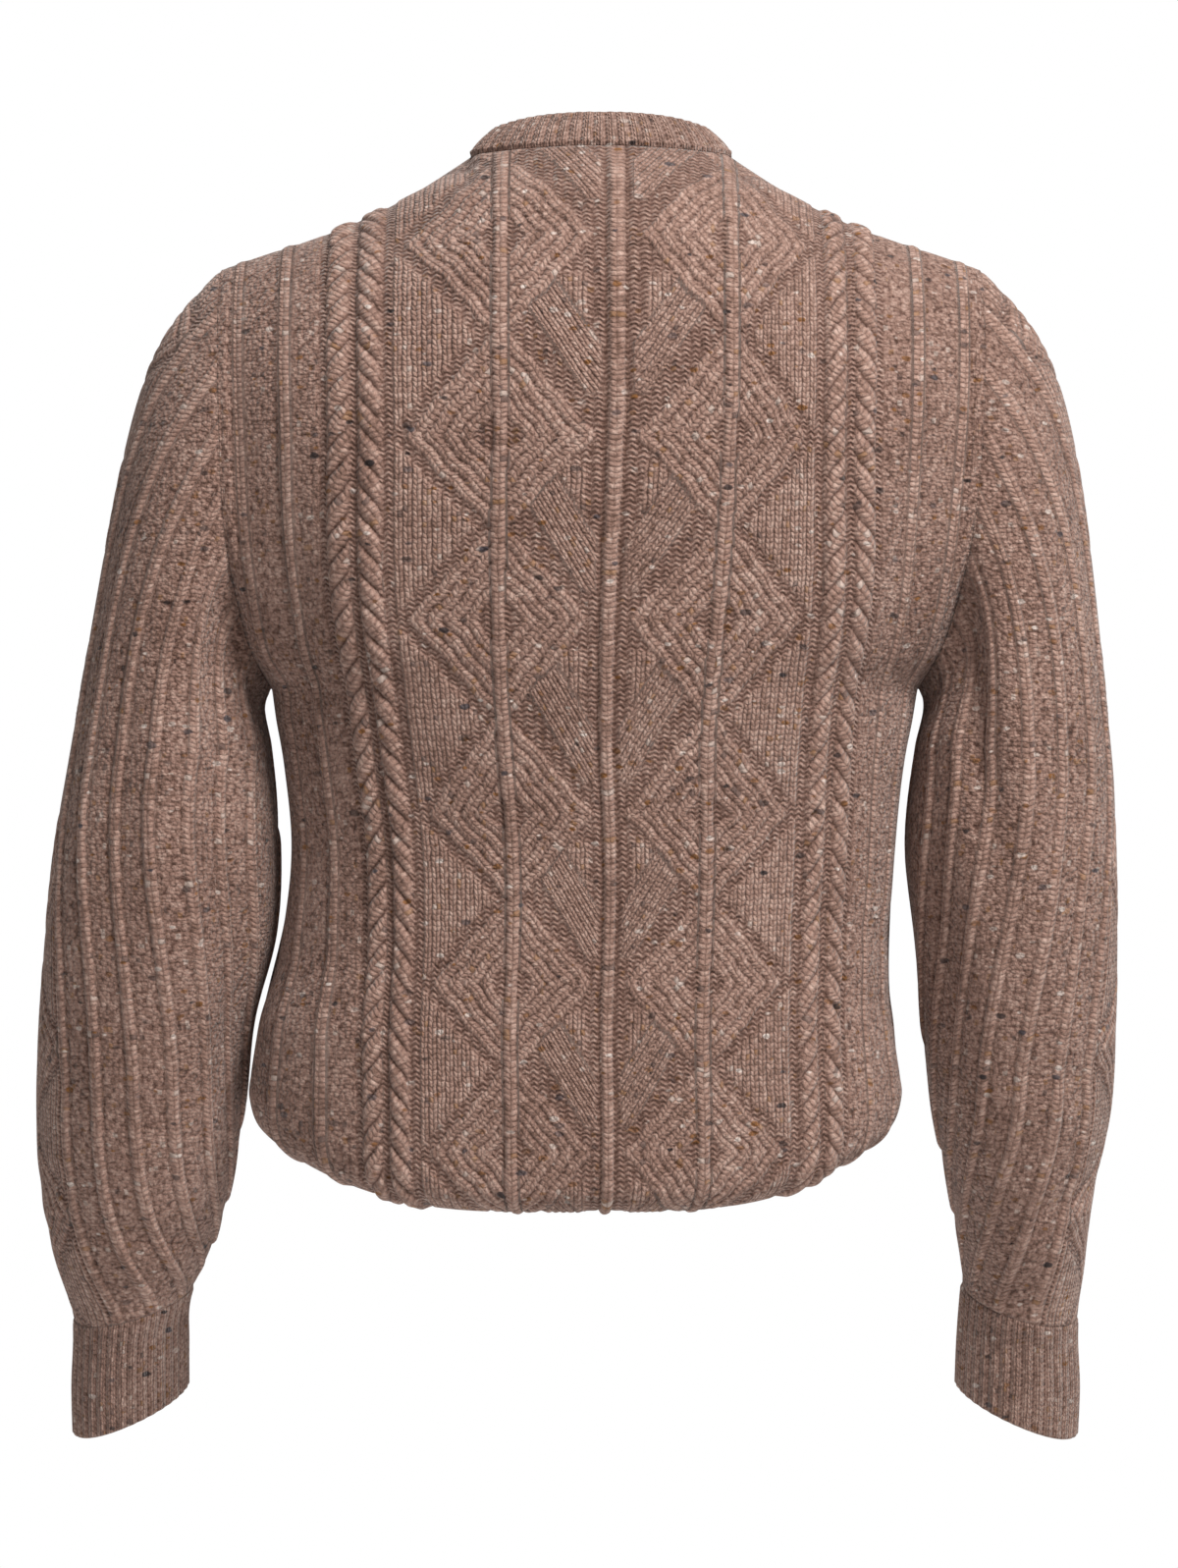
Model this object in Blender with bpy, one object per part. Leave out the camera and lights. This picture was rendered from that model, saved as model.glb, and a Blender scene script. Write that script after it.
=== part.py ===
"""A worn cable knit sweater, modelled piece by piece as it is cut and sewn.

Metres, +Z up. The chest faces -Y, the back faces +Y and the wearer's left is +X.
The origin is the centre of the neck base, level with the high points of the shoulder seams.
Every piece is a cloth wall: a plain inner side, and an outer side that carries the raised
ribs, cables and diamonds. Panels are lofts through horizontal sections of the worn body,
and sleeves are lofts from the armhole through the rings of the arm.
"""
import bmesh
import bpy
import numpy as np

# ---- cloth and seams ----
WALL = 0.0024            # knitted cloth under its raised stitches
BAND_WALL = 0.0032       # folded rib of the neckband and cuffs
SEAM_GAP = 0.0003        # clear distance between two pieces at a seam
VALLEY_PARTING = 1.3     # how soon two walls take their own directions in a valley

# ---- stitch plan, measured across the cloth from the centre of a panel ----
HALF_PANEL = 0.250       # centre to side seam
ARMHOLE_EDGE = 0.222     # centre to the armhole edge
KEPT_AT_ARMHOLE = 0.2115  # stitches inside this run straight up past the armhole
ARMHOLE_EASE = 0.014     # height over which the side stitches crowd into the armhole edge
EVEN_ZONE = 0.165        # stitches inside this keep an even gauge on the body
CHAIN = 0.060            # centre of a chain of diamonds
LATTICE = 0.0155         # a third of a diamond's half width
RIB_HALF = 0.003
RIB_RISE = 0.0018
DIAMOND_RISE = 0.0028
LATTICE_END = 0.112      # no diamond ridge past this
DIAMOND_INNER = 1 / 3    # the inner ridge of a diamond, against its outline at 1
DIAMOND_END = 4 / 3      # the plain gap outside the outline ends here
CABLE_RISE = 0.0034
CABLE_TWIST = 0.0022     # how far a rope cable's crown swings from side to side
CABLES = (0.130, 0.148)  # crowns of the inner and the outer rope cable
CABLE_HALF = 0.0067
SIDE_RIBS = (0.1795, 0.2085)
NECK_COLUMN = CHAIN + LATTICE  # the stitch column that meets the high point of the shoulder
NECK_TURN = 0.0712       # a stitch column where the neck seam turns hardest
COLUMNS = (0.0, RIB_HALF, CHAIN - 3 * LATTICE, CHAIN - 2 * LATTICE, CHAIN - LATTICE,
           CHAIN - RIB_HALF, CHAIN, CHAIN + RIB_HALF, NECK_TURN, CHAIN + LATTICE,
           CHAIN + 2 * LATTICE, CHAIN + 3 * LATTICE, 0.1235, CABLES[0], 0.1365,
           0.1413, CABLES[1], 0.155,
           SIDE_RIBS[0] - RIB_HALF, SIDE_RIBS[0], SIDE_RIBS[0] + RIB_HALF,
           SIDE_RIBS[1] - RIB_HALF, SIDE_RIBS[1], SIDE_RIBS[1] + RIB_HALF, 0.230, HALF_PANEL)
PLAIN_COLUMNS = (0, 4, 9, 12, 16, 18, 21, 24)  # columns that the plain inner side keeps

# ---- body, at heights above the origin ----
# lean: sideways shift of a section; twist: shift of the centre stitch round the section;
# gauge: worn width of a stitch against its flat width
BODY_NAMES = ("height", "lean", "twist", "half_width", "back_depth", "front_depth", "gauge")
BODY = (
    (-0.620, 0.0145, -0.0180, 0.1800, 0.0950, 0.1150, 0.90),
    (-0.575, 0.0148, -0.0185, 0.1870, 0.0995, 0.1195, 0.90),
    (-0.540, 0.0148, -0.0185, 0.1890, 0.1010, 0.1215, 0.90),
    (-0.504, 0.0145, -0.0175, 0.1842, 0.0985, 0.1200, 0.90),
    (-0.476, 0.0123, -0.0160, 0.1797, 0.0950, 0.1175, 0.90),
    (-0.440, 0.0078, -0.0125, 0.1757, 0.0925, 0.1160, 0.90),
    (-0.400, 0.0045, -0.0095, 0.1748, 0.0930, 0.1155, 0.91),
    (-0.350, 0.0040, -0.0070, 0.1795, 0.0990, 0.1180, 0.94),
    (-0.306, 0.0035, -0.0050, 0.1870, 0.1060, 0.1210, 0.97),
    (-0.250, 0.0020, -0.0025, 0.1870, 0.1130, 0.1240, 1.00),
    (-0.200, 0.0010, -0.0008, 0.1870, 0.1165, 0.1240, 1.00),
    (-0.160, 0.0000, 0.0000, 0.1870, 0.1170, 0.1220, 1.00),
    (-0.100, 0.0000, 0.0000, 0.1870, 0.1150, 0.1190, 1.00),
    (0.040, 0.0000, 0.0000, 0.1870, 0.1120, 0.1150, 1.00),
)
ROUNDING = 2.25          # exponent of the sections, 2 is an ellipse
DIAMOND_CENTRES = (-0.168, -0.2698, -0.378, -0.473, -0.567)
ROWS_PER_DIAMOND = 6
TOP_DIAMOND_LENGTH = 0.117
TOP_ROWS = 9
CHEST = DIAMOND_CENTRES[0]
ARMPIT = DIAMOND_CENTRES[1] + (DIAMOND_CENTRES[2] - DIAMOND_CENTRES[1]) * 2 / ROWS_PER_DIAMOND
ARMPIT_ROW = TOP_ROWS + ROWS_PER_DIAMOND + 2

# ---- armhole: distance of its edge from the centre of the body ----
ARMHOLE_NAMES = ("height", "edge")
ARMHOLE = ((ARMPIT, 0.187), (-0.298, 0.1915), (-0.280, 0.199), (-0.250, 0.2065),
           (-0.210, 0.2125), (-0.168, 0.2155), (-0.130, 0.2172), (-0.095, 0.2182),
           (-0.050, 0.2185))
ARMHOLE_HALF_DEPTH = 0.064
ARMHOLE_WIDEST = -0.200

# ---- shoulders and neck ----
# the shoulder line is steep beside the neck and slacker further out
SHOULDER_LINE = ((0.0250, 0.000), (0.0205, 0.030), (0.0000, 0.0766), (-0.0115, 0.094),
                 (-0.0210, 0.109), (-0.0340, 0.1345), (-0.0460, 0.164), (-0.0570, 0.1985),
                 (-0.0640, 0.2185))
SHOULDER_SEAM_Y = 0.012
CROWN_AT_CENTRE = 0.185  # height over which the back rounds over to the shoulder seam
CROWN_SLOPE = 0.385
CHEST_ROUNDING = 1.5     # exponent of the same rounding at the middle of the front
CHEST_WIDTH = 0.150
SHOULDER_EASE = 0.040    # width over which the rows spread evenly again, outside the neck
NECK_BACK = 0.050        # how far the neck seam runs behind the shoulder seam
NECK_BACK_OVAL = 2.2     # exponent of that curve, seen from above
NECK_FRONT_DROP = 0.068  # how far it drops at the front
NECK_FRONT_OVAL = 2.1    # exponent of that curve, seen from the front
NECKBAND_RISE = 0.0215
NECKBAND_CLOSE = 0.86    # size of the band's top against its seam
NECKBAND_CENTRE_Y = -0.010
NECKBAND_STEPS = (0.14, 0.90)  # where its ribs start and end, from seam to rim
NECK_RIBS = 74
BAND_RIB_RISE = 0.0013
RIM_DRAW = 0.001         # how far a band's rim is drawn in

# ---- hem ----
HEM_CENTRE = -0.601      # lowest line of the cloth at the centre
HEM_SIDE_LIFT = 0.034    # how much higher it runs at the sides
HEM_CURVE = 4            # exponent of that rise
ROLL_AT_CENTRE = 0.018   # radius of the turn that carries the cloth up inside
ROLL_AT_SIDE = 0.026
ROLL_ROWS = 5
ROLL_PHASE = 5.2         # diamond phase where the turn starts
ROLL_DIAMOND_LENGTH = 0.1
HEM_RIB_HEIGHT = 0.055
HEM_RIB_STEPS = (0.1, 1.0)
HEM_RIB_STEP = 3         # the plain rib band keeps every third seam point

# ---- sleeves: rings by height; outer and inner are distances from the middle plane ----
SLEEVE_NAMES = ("height", "outer", "inner", "mid_y", "half_depth", "slant")
LEFT_SLEEVE = (
    (-0.340, 0.3060, 0.1925, 0.002, 0.0660, 0.00),
    (-0.400, 0.3160, 0.1875, 0.002, 0.0660, 0.00),
    (-0.450, 0.3215, 0.1905, -0.002, 0.0640, 0.00),
    (-0.500, 0.3255, 0.2035, -0.010, 0.0610, 0.02),
    (-0.550, 0.3280, 0.2095, -0.022, 0.0570, 0.05),
    (-0.590, 0.3275, 0.2155, -0.033, 0.0520, 0.10),
    (-0.622, 0.3245, 0.2235, -0.042, 0.0460, 0.16),
    (-0.649, 0.3190, 0.2330, -0.049, 0.0390, 0.22),
    (-0.666, 0.3130, 0.2410, -0.053, 0.0355, 0.26),
    (-0.674, 0.3115, 0.2435, -0.0555, 0.0345, 0.28),
    (-0.706, 0.3135, 0.2455, -0.064, 0.0345, 0.34),
    (-0.733, 0.3135, 0.2460, -0.070, 0.0340, 0.40),
)
RIGHT_SLEEVE = (
    (-0.300, 0.2880, 0.1885, 0.002, 0.0660, 0.00),
    (-0.340, 0.2945, 0.1840, 0.002, 0.0660, 0.00),
    (-0.400, 0.2970, 0.1780, 0.002, 0.0660, 0.00),
    (-0.450, 0.2980, 0.1830, -0.002, 0.0640, 0.00),
    (-0.500, 0.2980, 0.1880, -0.010, 0.0610, 0.02),
    (-0.550, 0.2965, 0.1945, -0.022, 0.0570, 0.05),
    (-0.590, 0.2890, 0.2030, -0.033, 0.0520, 0.10),
    (-0.622, 0.2850, 0.2095, -0.042, 0.0460, 0.16),
    (-0.649, 0.2830, 0.2140, -0.049, 0.0390, 0.22),
    (-0.666, 0.2820, 0.2145, -0.053, 0.0360, 0.26),
    (-0.674, 0.2820, 0.2140, -0.0555, 0.0350, 0.28),
    (-0.706, 0.2840, 0.2125, -0.064, 0.0350, 0.34),
    (-0.733, 0.2835, 0.2120, -0.070, 0.0345, 0.40),
)
ARM_TOP = -0.340         # first full ring of the arm, below the sleeve cap
SLEEVE_END = -0.666
CUFF_END = -0.733
CAP_ROWS = 6
ARM_ROWS = 10
CAP_OUT = 0.78           # how far outward the cap leaves the armhole, against downward
CAP_OUT_SWING = 0.27     # more at the shoulder and the armpit, less at front and back
CAP_LEAVES = -0.28       # change of the cap curves' pull at the shoulder point, outer side only
CAP_ARRIVES = 1.2        # the same where they run into the arm
CAP_NEAR = 0.05          # share of a cap curve that gives its direction at the seam
SEAM_WARP = 1.15         # how sleeve stitches are shared out along the armhole
SLEEVE_RIBS = (0.26, 0.35, 0.44, 0.53, 0.62, 0.71, 0.80, 0.90)  # share of the half ring
SLEEVE_RIB_HALF = 0.016
SLEEVE_CHAIN_HALF = 0.20
CUFF_RIBS = 34
CUFF_STEPS = (0.08, 0.93, 1.0)

# ---- folds: troughs and ridges of the worn cloth ----
# across and height place the fold's middle; along is its half length, wide its half width;
# turn is its angle from upright in degrees; depth is negative for a trough
FOLD_NAMES = ("side", "across", "height", "along", "wide", "turn", "depth")
FOLDS = (
    ("back", 0.172, -0.268, 0.075, 0.020, 12.0, -0.0036),
    ("back", 0.138, -0.258, 0.085, 0.022, 10.0, 0.0022),
    ("back", -0.170, -0.262, 0.085, 0.020, -14.0, -0.0042),
    ("back", -0.136, -0.255, 0.090, 0.022, -12.0, 0.0026),
    ("front", 0.166, -0.265, 0.080, 0.021, 20.0, -0.0040),
    ("front", 0.132, -0.260, 0.090, 0.022, 18.0, 0.0026),
    ("front", -0.166, -0.270, 0.078, 0.021, -22.0, -0.0037),
    ("front", -0.132, -0.265, 0.085, 0.022, -19.0, 0.0024),
)
FOLD_AT_EDGE = 0.3       # share of a fold that reaches the stitches next to a seam

WOOL = (0.265, 0.178, 0.140, 1.0)
WOOL_ROUGHNESS = 0.95


def smooth(names, table, name, at):
    """Value of one named column of a table at a height, on a smooth curve through its rows."""
    rows = sorted(table)
    heights = np.array([row[0] for row in rows])
    values = np.array([row[names.index(name)] for row in rows])
    slopes = np.gradient(values, heights)
    at = np.clip(at, heights[0], heights[-1])
    k = np.clip(np.searchsorted(heights, at) - 1, 0, len(heights) - 2)
    step = heights[k + 1] - heights[k]
    t = (at - heights[k]) / step
    start = (2 * t ** 3 - 3 * t ** 2 + 1) * values[k] + (t ** 3 - 2 * t ** 2 + t) * step * slopes[k]
    end = (3 * t ** 2 - 2 * t ** 3) * values[k + 1] + (t ** 3 - t ** 2) * step * slopes[k + 1]
    return start + end


def body(name, height):
    return smooth(BODY_NAMES, BODY, name, height)


def ease(t):
    t = np.clip(t, 0.0, 1.0)
    return t * t * (3 - 2 * t)


def unit(v):
    v = np.asarray(v, dtype=float)
    return v / np.maximum(np.linalg.norm(v, axis=-1, keepdims=True), 1e-12)


# ---- the torso ----

def armhole_edge(height):
    """Distance of the armhole edge from the centre, and of the back edge from the side plane."""
    edge = smooth(ARMHOLE_NAMES, ARMHOLE, "edge", height)
    drop = np.clip((ARMHOLE_WIDEST - height) / (ARMHOLE_WIDEST - ARMPIT), 0.0, 1.0)
    return edge, ARMHOLE_HALF_DEPTH * np.sqrt(1 - drop ** 2)


def section_width(height):
    """Half width of the oval that a panel follows at a height."""
    if height <= ARMPIT:
        return float(body("half_width", height))
    edge, edge_y = armhole_edge(min(height, CHEST))
    depth = body("back_depth", min(height, CHEST))
    return float(edge / (1 - (edge_y / depth) ** ROUNDING) ** (1 / ROUNDING))


def section_arc(height):
    """Tables of distance along the section from the centre, and of the width reached there."""
    width = section_width(height)
    depth = float(body("back_depth", height))
    turn = np.linspace(0.0, np.pi / 2, 361)
    x = width * np.sin(turn) ** (2 / ROUNDING)
    y = depth * np.cos(turn) ** (2 / ROUNDING)
    arc = np.concatenate([[0.0], np.cumsum(np.hypot(np.diff(x), np.diff(y)))])
    return arc, x


def column_across(height):
    """How far from the section's middle each stitch column lies at a height at or below chest."""
    arc, x = section_arc(height)
    edge = section_width(height) if height <= ARMPIT else float(armhole_edge(height)[0])
    reach = float(np.interp(edge, x, arc))
    gauge = float(body("gauge", height))
    twist = float(body("twist", height))
    into_armhole = float(ease((height - ARMPIT) / ARMHOLE_EASE))
    across = []
    for sign, stitches in ((-1, COLUMNS[:0:-1]), (1, COLUMNS)):
        even_end = twist + sign * gauge * EVEN_ZONE
        for stitch in stitches:
            if stitch <= EVEN_ZONE:
                place = twist + sign * gauge * stitch
            else:
                cut = stitch
                if stitch > KEPT_AT_ARMHOLE:
                    share = (stitch - KEPT_AT_ARMHOLE) / (HALF_PANEL - KEPT_AT_ARMHOLE)
                    cut = KEPT_AT_ARMHOLE + share * (ARMHOLE_EDGE - KEPT_AT_ARMHOLE)
                on_body = (stitch - EVEN_ZONE) / (HALF_PANEL - EVEN_ZONE)
                at_armhole = (cut - EVEN_ZONE) / (ARMHOLE_EDGE - EVEN_ZONE)
                u = on_body + into_armhole * (at_armhole - on_body)
                place = even_end + u * (sign * reach - even_end)
            across.append(np.sign(place) * np.interp(abs(place), arc, x))
    return np.array(across)


STITCH = np.array([-s for s in COLUMNS[:0:-1]] + list(COLUMNS))
ACROSS_AT_CHEST = column_across(CHEST)


def crown_line(x):
    """Height of the top of the shoulders above each place across."""
    heights = [row[0] for row in SHOULDER_LINE]
    across = [row[1] for row in SHOULDER_LINE]
    mirrored = [(a, h) for a, h in zip(across, heights)] + [(-a, h) for a, h in
                                                             zip(across[1:], heights[1:])]
    return smooth(("height", "value"), mirrored, "value", x)


def neck_half_width():
    scale = float(armhole_edge(0.0)[0]) / float(armhole_edge(CHEST)[0])
    return float(np.interp(NECK_COLUMN, STITCH, ACROSS_AT_CHEST)) * scale


NECK_HALF = neck_half_width()


def depth_above_chest(side, x, height):
    """Y of a panel above the chest, where it rounds over towards the shoulder seam."""
    name = "back_depth" if side == "back" else "front_depth"
    sign = 1 if side == "back" else -1
    width = section_width(CHEST)
    full = sign * body(name, height) * (1 - np.abs(x / width) ** ROUNDING) ** (1 / ROUNDING)
    fall = (crown_line(x) - height) / (CROWN_AT_CENTRE - CROWN_SLOPE * abs(x))
    fall = np.clip(fall, 0.0, 1.0)
    power = 2.0
    if side == "front":
        power = CHEST_ROUNDING + (2.0 - CHEST_ROUNDING) * min(1.0, (x / CHEST_WIDTH) ** 2)
    round_over = (1 - (1 - fall) ** power) ** (1 / power)
    return SHOULDER_SEAM_Y + (full - SHOULDER_SEAM_Y) * round_over


def top_column(side, j):
    """Points of one stitch column from its top edge down to the chest, and their lengths."""
    width_at_chest = float(armhole_edge(CHEST)[0])
    x_chest = ACROSS_AT_CHEST[j]
    top = crown_line(x_chest * 1.01)
    turn = np.linspace(0.0, np.pi / 2, 500)
    for _ in range(4):
        x_top = x_chest * float(armhole_edge(top)[0]) / width_at_chest
        top = float(crown_line(x_top))
    height = CHEST + (top - CHEST) * np.sin(turn)
    x = x_chest * armhole_edge(height)[0] / width_at_chest
    y = np.array([depth_above_chest(side, a, h) for a, h in zip(x, height)])
    if abs(STITCH[j]) < NECK_COLUMN - 1e-6:
        power = NECK_BACK_OVAL if side == "back" else NECK_FRONT_OVAL
        oval = (1 - min(1.0, abs(x_top) / NECK_HALF) ** power) ** (1 / power)
        if side == "back":
            below_seam = y - SHOULDER_SEAM_Y - NECK_BACK * oval
        else:
            below_seam = -NECK_FRONT_DROP * oval - height
        last = int(np.nonzero(below_seam >= 0)[0].max())
        t = below_seam[last] / (below_seam[last] - below_seam[last + 1])
        cut = [a[last] + t * (a[last + 1] - a[last]) for a in (x, y, height)]
        x, y, height = (np.append(a[:last + 1], c) for a, c in zip((x, y, height), cut))
    path = np.stack([x, y, height], axis=1)[::-1]
    length = np.concatenate([[0.0], np.cumsum(np.linalg.norm(np.diff(path, axis=0), axis=1))])
    return path, length


def fold_offset(side, x, height):
    """How far the folds of the worn cloth push a point out or in."""
    total = 0.0
    for row in FOLDS:
        fold = dict(zip(FOLD_NAMES, row))
        if fold["side"] != side:
            continue
        angle = np.radians(fold["turn"])
        dx = x - fold["across"]
        dz = height - fold["height"]
        along = (dz * np.cos(angle) + dx * np.sin(angle)) / fold["along"]
        aside = (dx * np.cos(angle) - dz * np.sin(angle)) / fold["wide"]
        total += fold["depth"] * np.exp(-along ** 2 - aside ** 2)
    return total


def torso_grid(side):
    """Base points of a panel, rows from top to hem, and the diamond phase of each point."""
    sign = 1 if side == "back" else -1
    depth_name = "back_depth" if side == "back" else "front_depth"
    count = len(STITCH)
    rows = []
    phases = []
    tops = [top_column(side, j) for j in range(count)]
    # by the neck the rows keep to the diamonds, or to the column where the seam turns
    near_neck = TOP_DIAMOND_LENGTH / ROWS_PER_DIAMOND
    if side == "front":
        near_neck = tops[int(np.argmin(abs(STITCH - NECK_TURN)))][1][-1] / TOP_ROWS
    for i in range(TOP_ROWS):
        row, phase = [], []
        for stitch, (path, length) in zip(STITCH, tops):
            total = length[-1]
            step = total / TOP_ROWS
            even = min(step, near_neck)
            step = even + (step - even) * ease((abs(stitch) - NECK_COLUMN) / SHOULDER_EASE)
            up = (TOP_ROWS - i) * step if i else total
            row.append([np.interp(total - up, length, path[:, a]) for a in range(3)])
            phase.append(1 - up / TOP_DIAMOND_LENGTH)
        rows.append(row)
        phases.append(phase)
    heights = [CHEST]
    for high, low in zip(DIAMOND_CENTRES[:3], DIAMOND_CENTRES[1:4]):
        heights += [high + (low - high) * k / ROWS_PER_DIAMOND
                    for k in range(1, ROWS_PER_DIAMOND + 1)]
    low_start = DIAMOND_CENTRES[3]
    low_x = column_across(low_start)
    reach = section_width(low_start)
    roll = ROLL_AT_CENTRE + (ROLL_AT_SIDE - ROLL_AT_CENTRE) * (low_x / reach) ** 2
    turn_start = HEM_CENTRE + HEM_SIDE_LIFT * abs(low_x / reach) ** HEM_CURVE + roll

    def level(height_of_column):
        row, phase = [], []
        for j, height in enumerate(height_of_column):
            x = column_across(height)[j] if height < CHEST else ACROSS_AT_CHEST[j]
            width = section_width(height)
            q = (1 - min(1.0, abs(x / width)) ** ROUNDING) ** (1 / ROUNDING)
            row.append([body("lean", height) + x, sign * body(depth_name, height) * q, height])
            phase.append(np.interp(-height, [-h for h in DIAMOND_CENTRES], [1, 2, 3, 4, 5]))
        return row, phase

    for height in heights:
        row, phase = level([height] * count)
        rows.append(row)
        phases.append(phase)
    for k in range(1, ROWS_PER_DIAMOND + 1):
        row, phase = level(low_start + (turn_start - low_start) * k / ROWS_PER_DIAMOND)
        rows.append(row)
        phases.append(phase)
    start = np.array(rows[-1])
    for k in range(1, ROLL_ROWS + 1):
        angle = np.pi * k / ROLL_ROWS
        inset = roll * (1 - np.cos(angle))
        lean = np.array([body("lean", h) for h in turn_start])
        width = np.array([section_width(h) for h in turn_start])
        depth = np.array([body(depth_name, h) for h in turn_start])
        x = lean + (start[:, 0] - lean) * (1 - inset / width)
        y = start[:, 1] * (1 - inset / depth)
        rows.append(np.stack([x, y, turn_start - roll * np.sin(angle)], axis=1))
        phases.append(ROLL_PHASE + roll * angle / ROLL_DIAMOND_LENGTH)
    grid = np.array([np.array(r, dtype=float) for r in rows])
    normal = grid_normals(grid, sign)
    for i in range(1, len(rows) - 1):
        for j in range(1, count - 1):
            share = FOLD_AT_EDGE if j in (1, count - 2) else 1.0
            push = share * fold_offset(side, grid[i, j, 0], grid[i, j, 2])
            grid[i, j] += normal[i, j] * push
    return grid, np.array(phases, dtype=float)


def grid_normals(grid, sign):
    """Unit normals of a grid of points, pointing out of the garment."""
    down = np.gradient(grid, axis=0)
    along = np.gradient(grid, axis=1)
    return unit(np.cross(along, down) * sign)


def seam_directions(first, second, second_leaves):
    """Wall directions of both pieces at a seam, from their normals.

    Over a ridge both pieces share one direction, so that their walls meet face to face. In a
    valley their walls part on the inside, and each keeps more of its own direction.
    """
    valley = np.sum(first * second_leaves, axis=-1, keepdims=True)
    share = np.clip(1 - VALLEY_PARTING * valley, 0.0, 1.0)
    return unit(first + second * share), unit(second + first * share)


def across_seam(leaves, normal):
    """The part of a direction that is square to the wall direction at a seam."""
    return unit(leaves - normal * np.sum(leaves * normal, axis=-1, keepdims=True))


# ---- raised stitches ----

def panel_relief(stitch, phase):
    """Height of the raised stitches at a stitch column and diamond phase."""
    a = abs(stitch)
    ribs = max(max(0.0, 1 - abs(a - c) / RIB_HALF) for c in (0.0, CHAIN) + SIDE_RIBS)
    rise = RIB_RISE * ribs
    ring = abs(a - CHAIN) / (3 * LATTICE) + abs(phase - np.round(phase)) * 2
    if ring < DIAMOND_END and a < LATTICE_END:
        wave = np.cos(2 * np.pi * (ring - DIAMOND_INNER) / (1 - DIAMOND_INNER))
        rise = max(rise, DIAMOND_RISE * 0.5 * (1 + wave))
    for crown in CABLES:
        rise = max(rise, CABLE_RISE * max(0.0, 1 - abs(a - crown) / CABLE_HALF))
    return rise


# ---- closed cloth walls ----

class Wall:
    """Collects the points and faces of one piece."""

    def __init__(self):
        self.points = []
        self.faces = []

    def add(self, points):
        start = len(self.points)
        self.points += [tuple(float(c) for c in p) for p in points]
        return list(range(start, start + len(points)))

    def quad(self, a, b, c, d, heights=None):
        """Two triangles, split along the diagonal whose ends are closest in height."""
        split = True
        if heights is not None:
            split = abs(heights[0] - heights[2]) <= abs(heights[1] - heights[3])
        faces = [(a, b, c), (a, c, d)] if split else [(a, b, d), (b, c, d)]
        self.faces += [f for f in faces if len(set(f)) == 3]

    def zip(self, first, second, first_at, second_at, closed=False):
        """Joins two unlike rows of points, ordered by their places along the row."""
        first, second = list(first), list(second)
        first_at, second_at = list(first_at), list(second_at)
        if closed:
            first.append(first[0])
            second.append(second[0])
            first_at.append(first_at[0] + 1.0)
            second_at.append(second_at[0] + 1.0)
        i = k = 0
        while i < len(first) - 1 or k < len(second) - 1:
            if k == len(second) - 1:
                step_first = True
            elif i == len(first) - 1:
                step_first = False
            else:
                step_first = first_at[i + 1] + first_at[i] < second_at[k + 1] + second_at[k]
            if step_first:
                self.faces.append((first[i], first[i + 1], second[k]))
                i += 1
            else:
                self.faces.append((first[i], second[k + 1], second[k]))
                k += 1

    def build(self, name, collection):
        mesh = bmesh.new()
        points = [mesh.verts.new(p) for p in self.points]
        for face in self.faces:
            mesh.faces.new([points[v] for v in face])
        bmesh.ops.triangulate(mesh, faces=[f for f in mesh.faces if len(f.verts) > 3])
        loose = [v for v in mesh.verts if not v.link_faces]
        bmesh.ops.delete(mesh, geom=loose, context="VERTS")
        bmesh.ops.recalc_face_normals(mesh, faces=mesh.faces)
        data = bpy.data.meshes.new(name)
        mesh.to_mesh(data)
        mesh.free()
        data.shade_smooth()
        item = bpy.data.objects.new(name, data)
        item.data.materials.append(wool_material(name))
        collection.objects.link(item)
        return item


def wool_material(name):
    material = bpy.data.materials.new(name + "_wool")
    material.use_nodes = True
    shader = material.node_tree.nodes["Principled BSDF"]
    shader.inputs["Base Color"].default_value = WOOL
    shader.inputs["Roughness"].default_value = WOOL_ROUGHNESS
    shader.inputs["Metallic"].default_value = 0.0
    return material


def coarse_steps(count, step):
    """Indices of a plain inner wall that keeps both ends."""
    picked = list(range(0, count, step))
    if count - 1 - picked[-1] < step / 2 and len(picked) > 1:
        picked.pop()
    return picked + [count - 1]


def twist_cables(outer):
    """Swings the crowns of the rope cables from side to side, row by row."""
    for crown in CABLES:
        for sign in (-1, 1):
            j = int(np.argmin(abs(STITCH - sign * crown)))
            sideways = unit(outer[:, j + 1] - outer[:, j - 1])
            for i in range(1, len(outer) - 1):
                turn = 1 if (i + (crown == CABLES[0])) % 2 else -1
                outer[i, j] += sideways[i] * CABLE_TWIST * turn * sign


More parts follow.
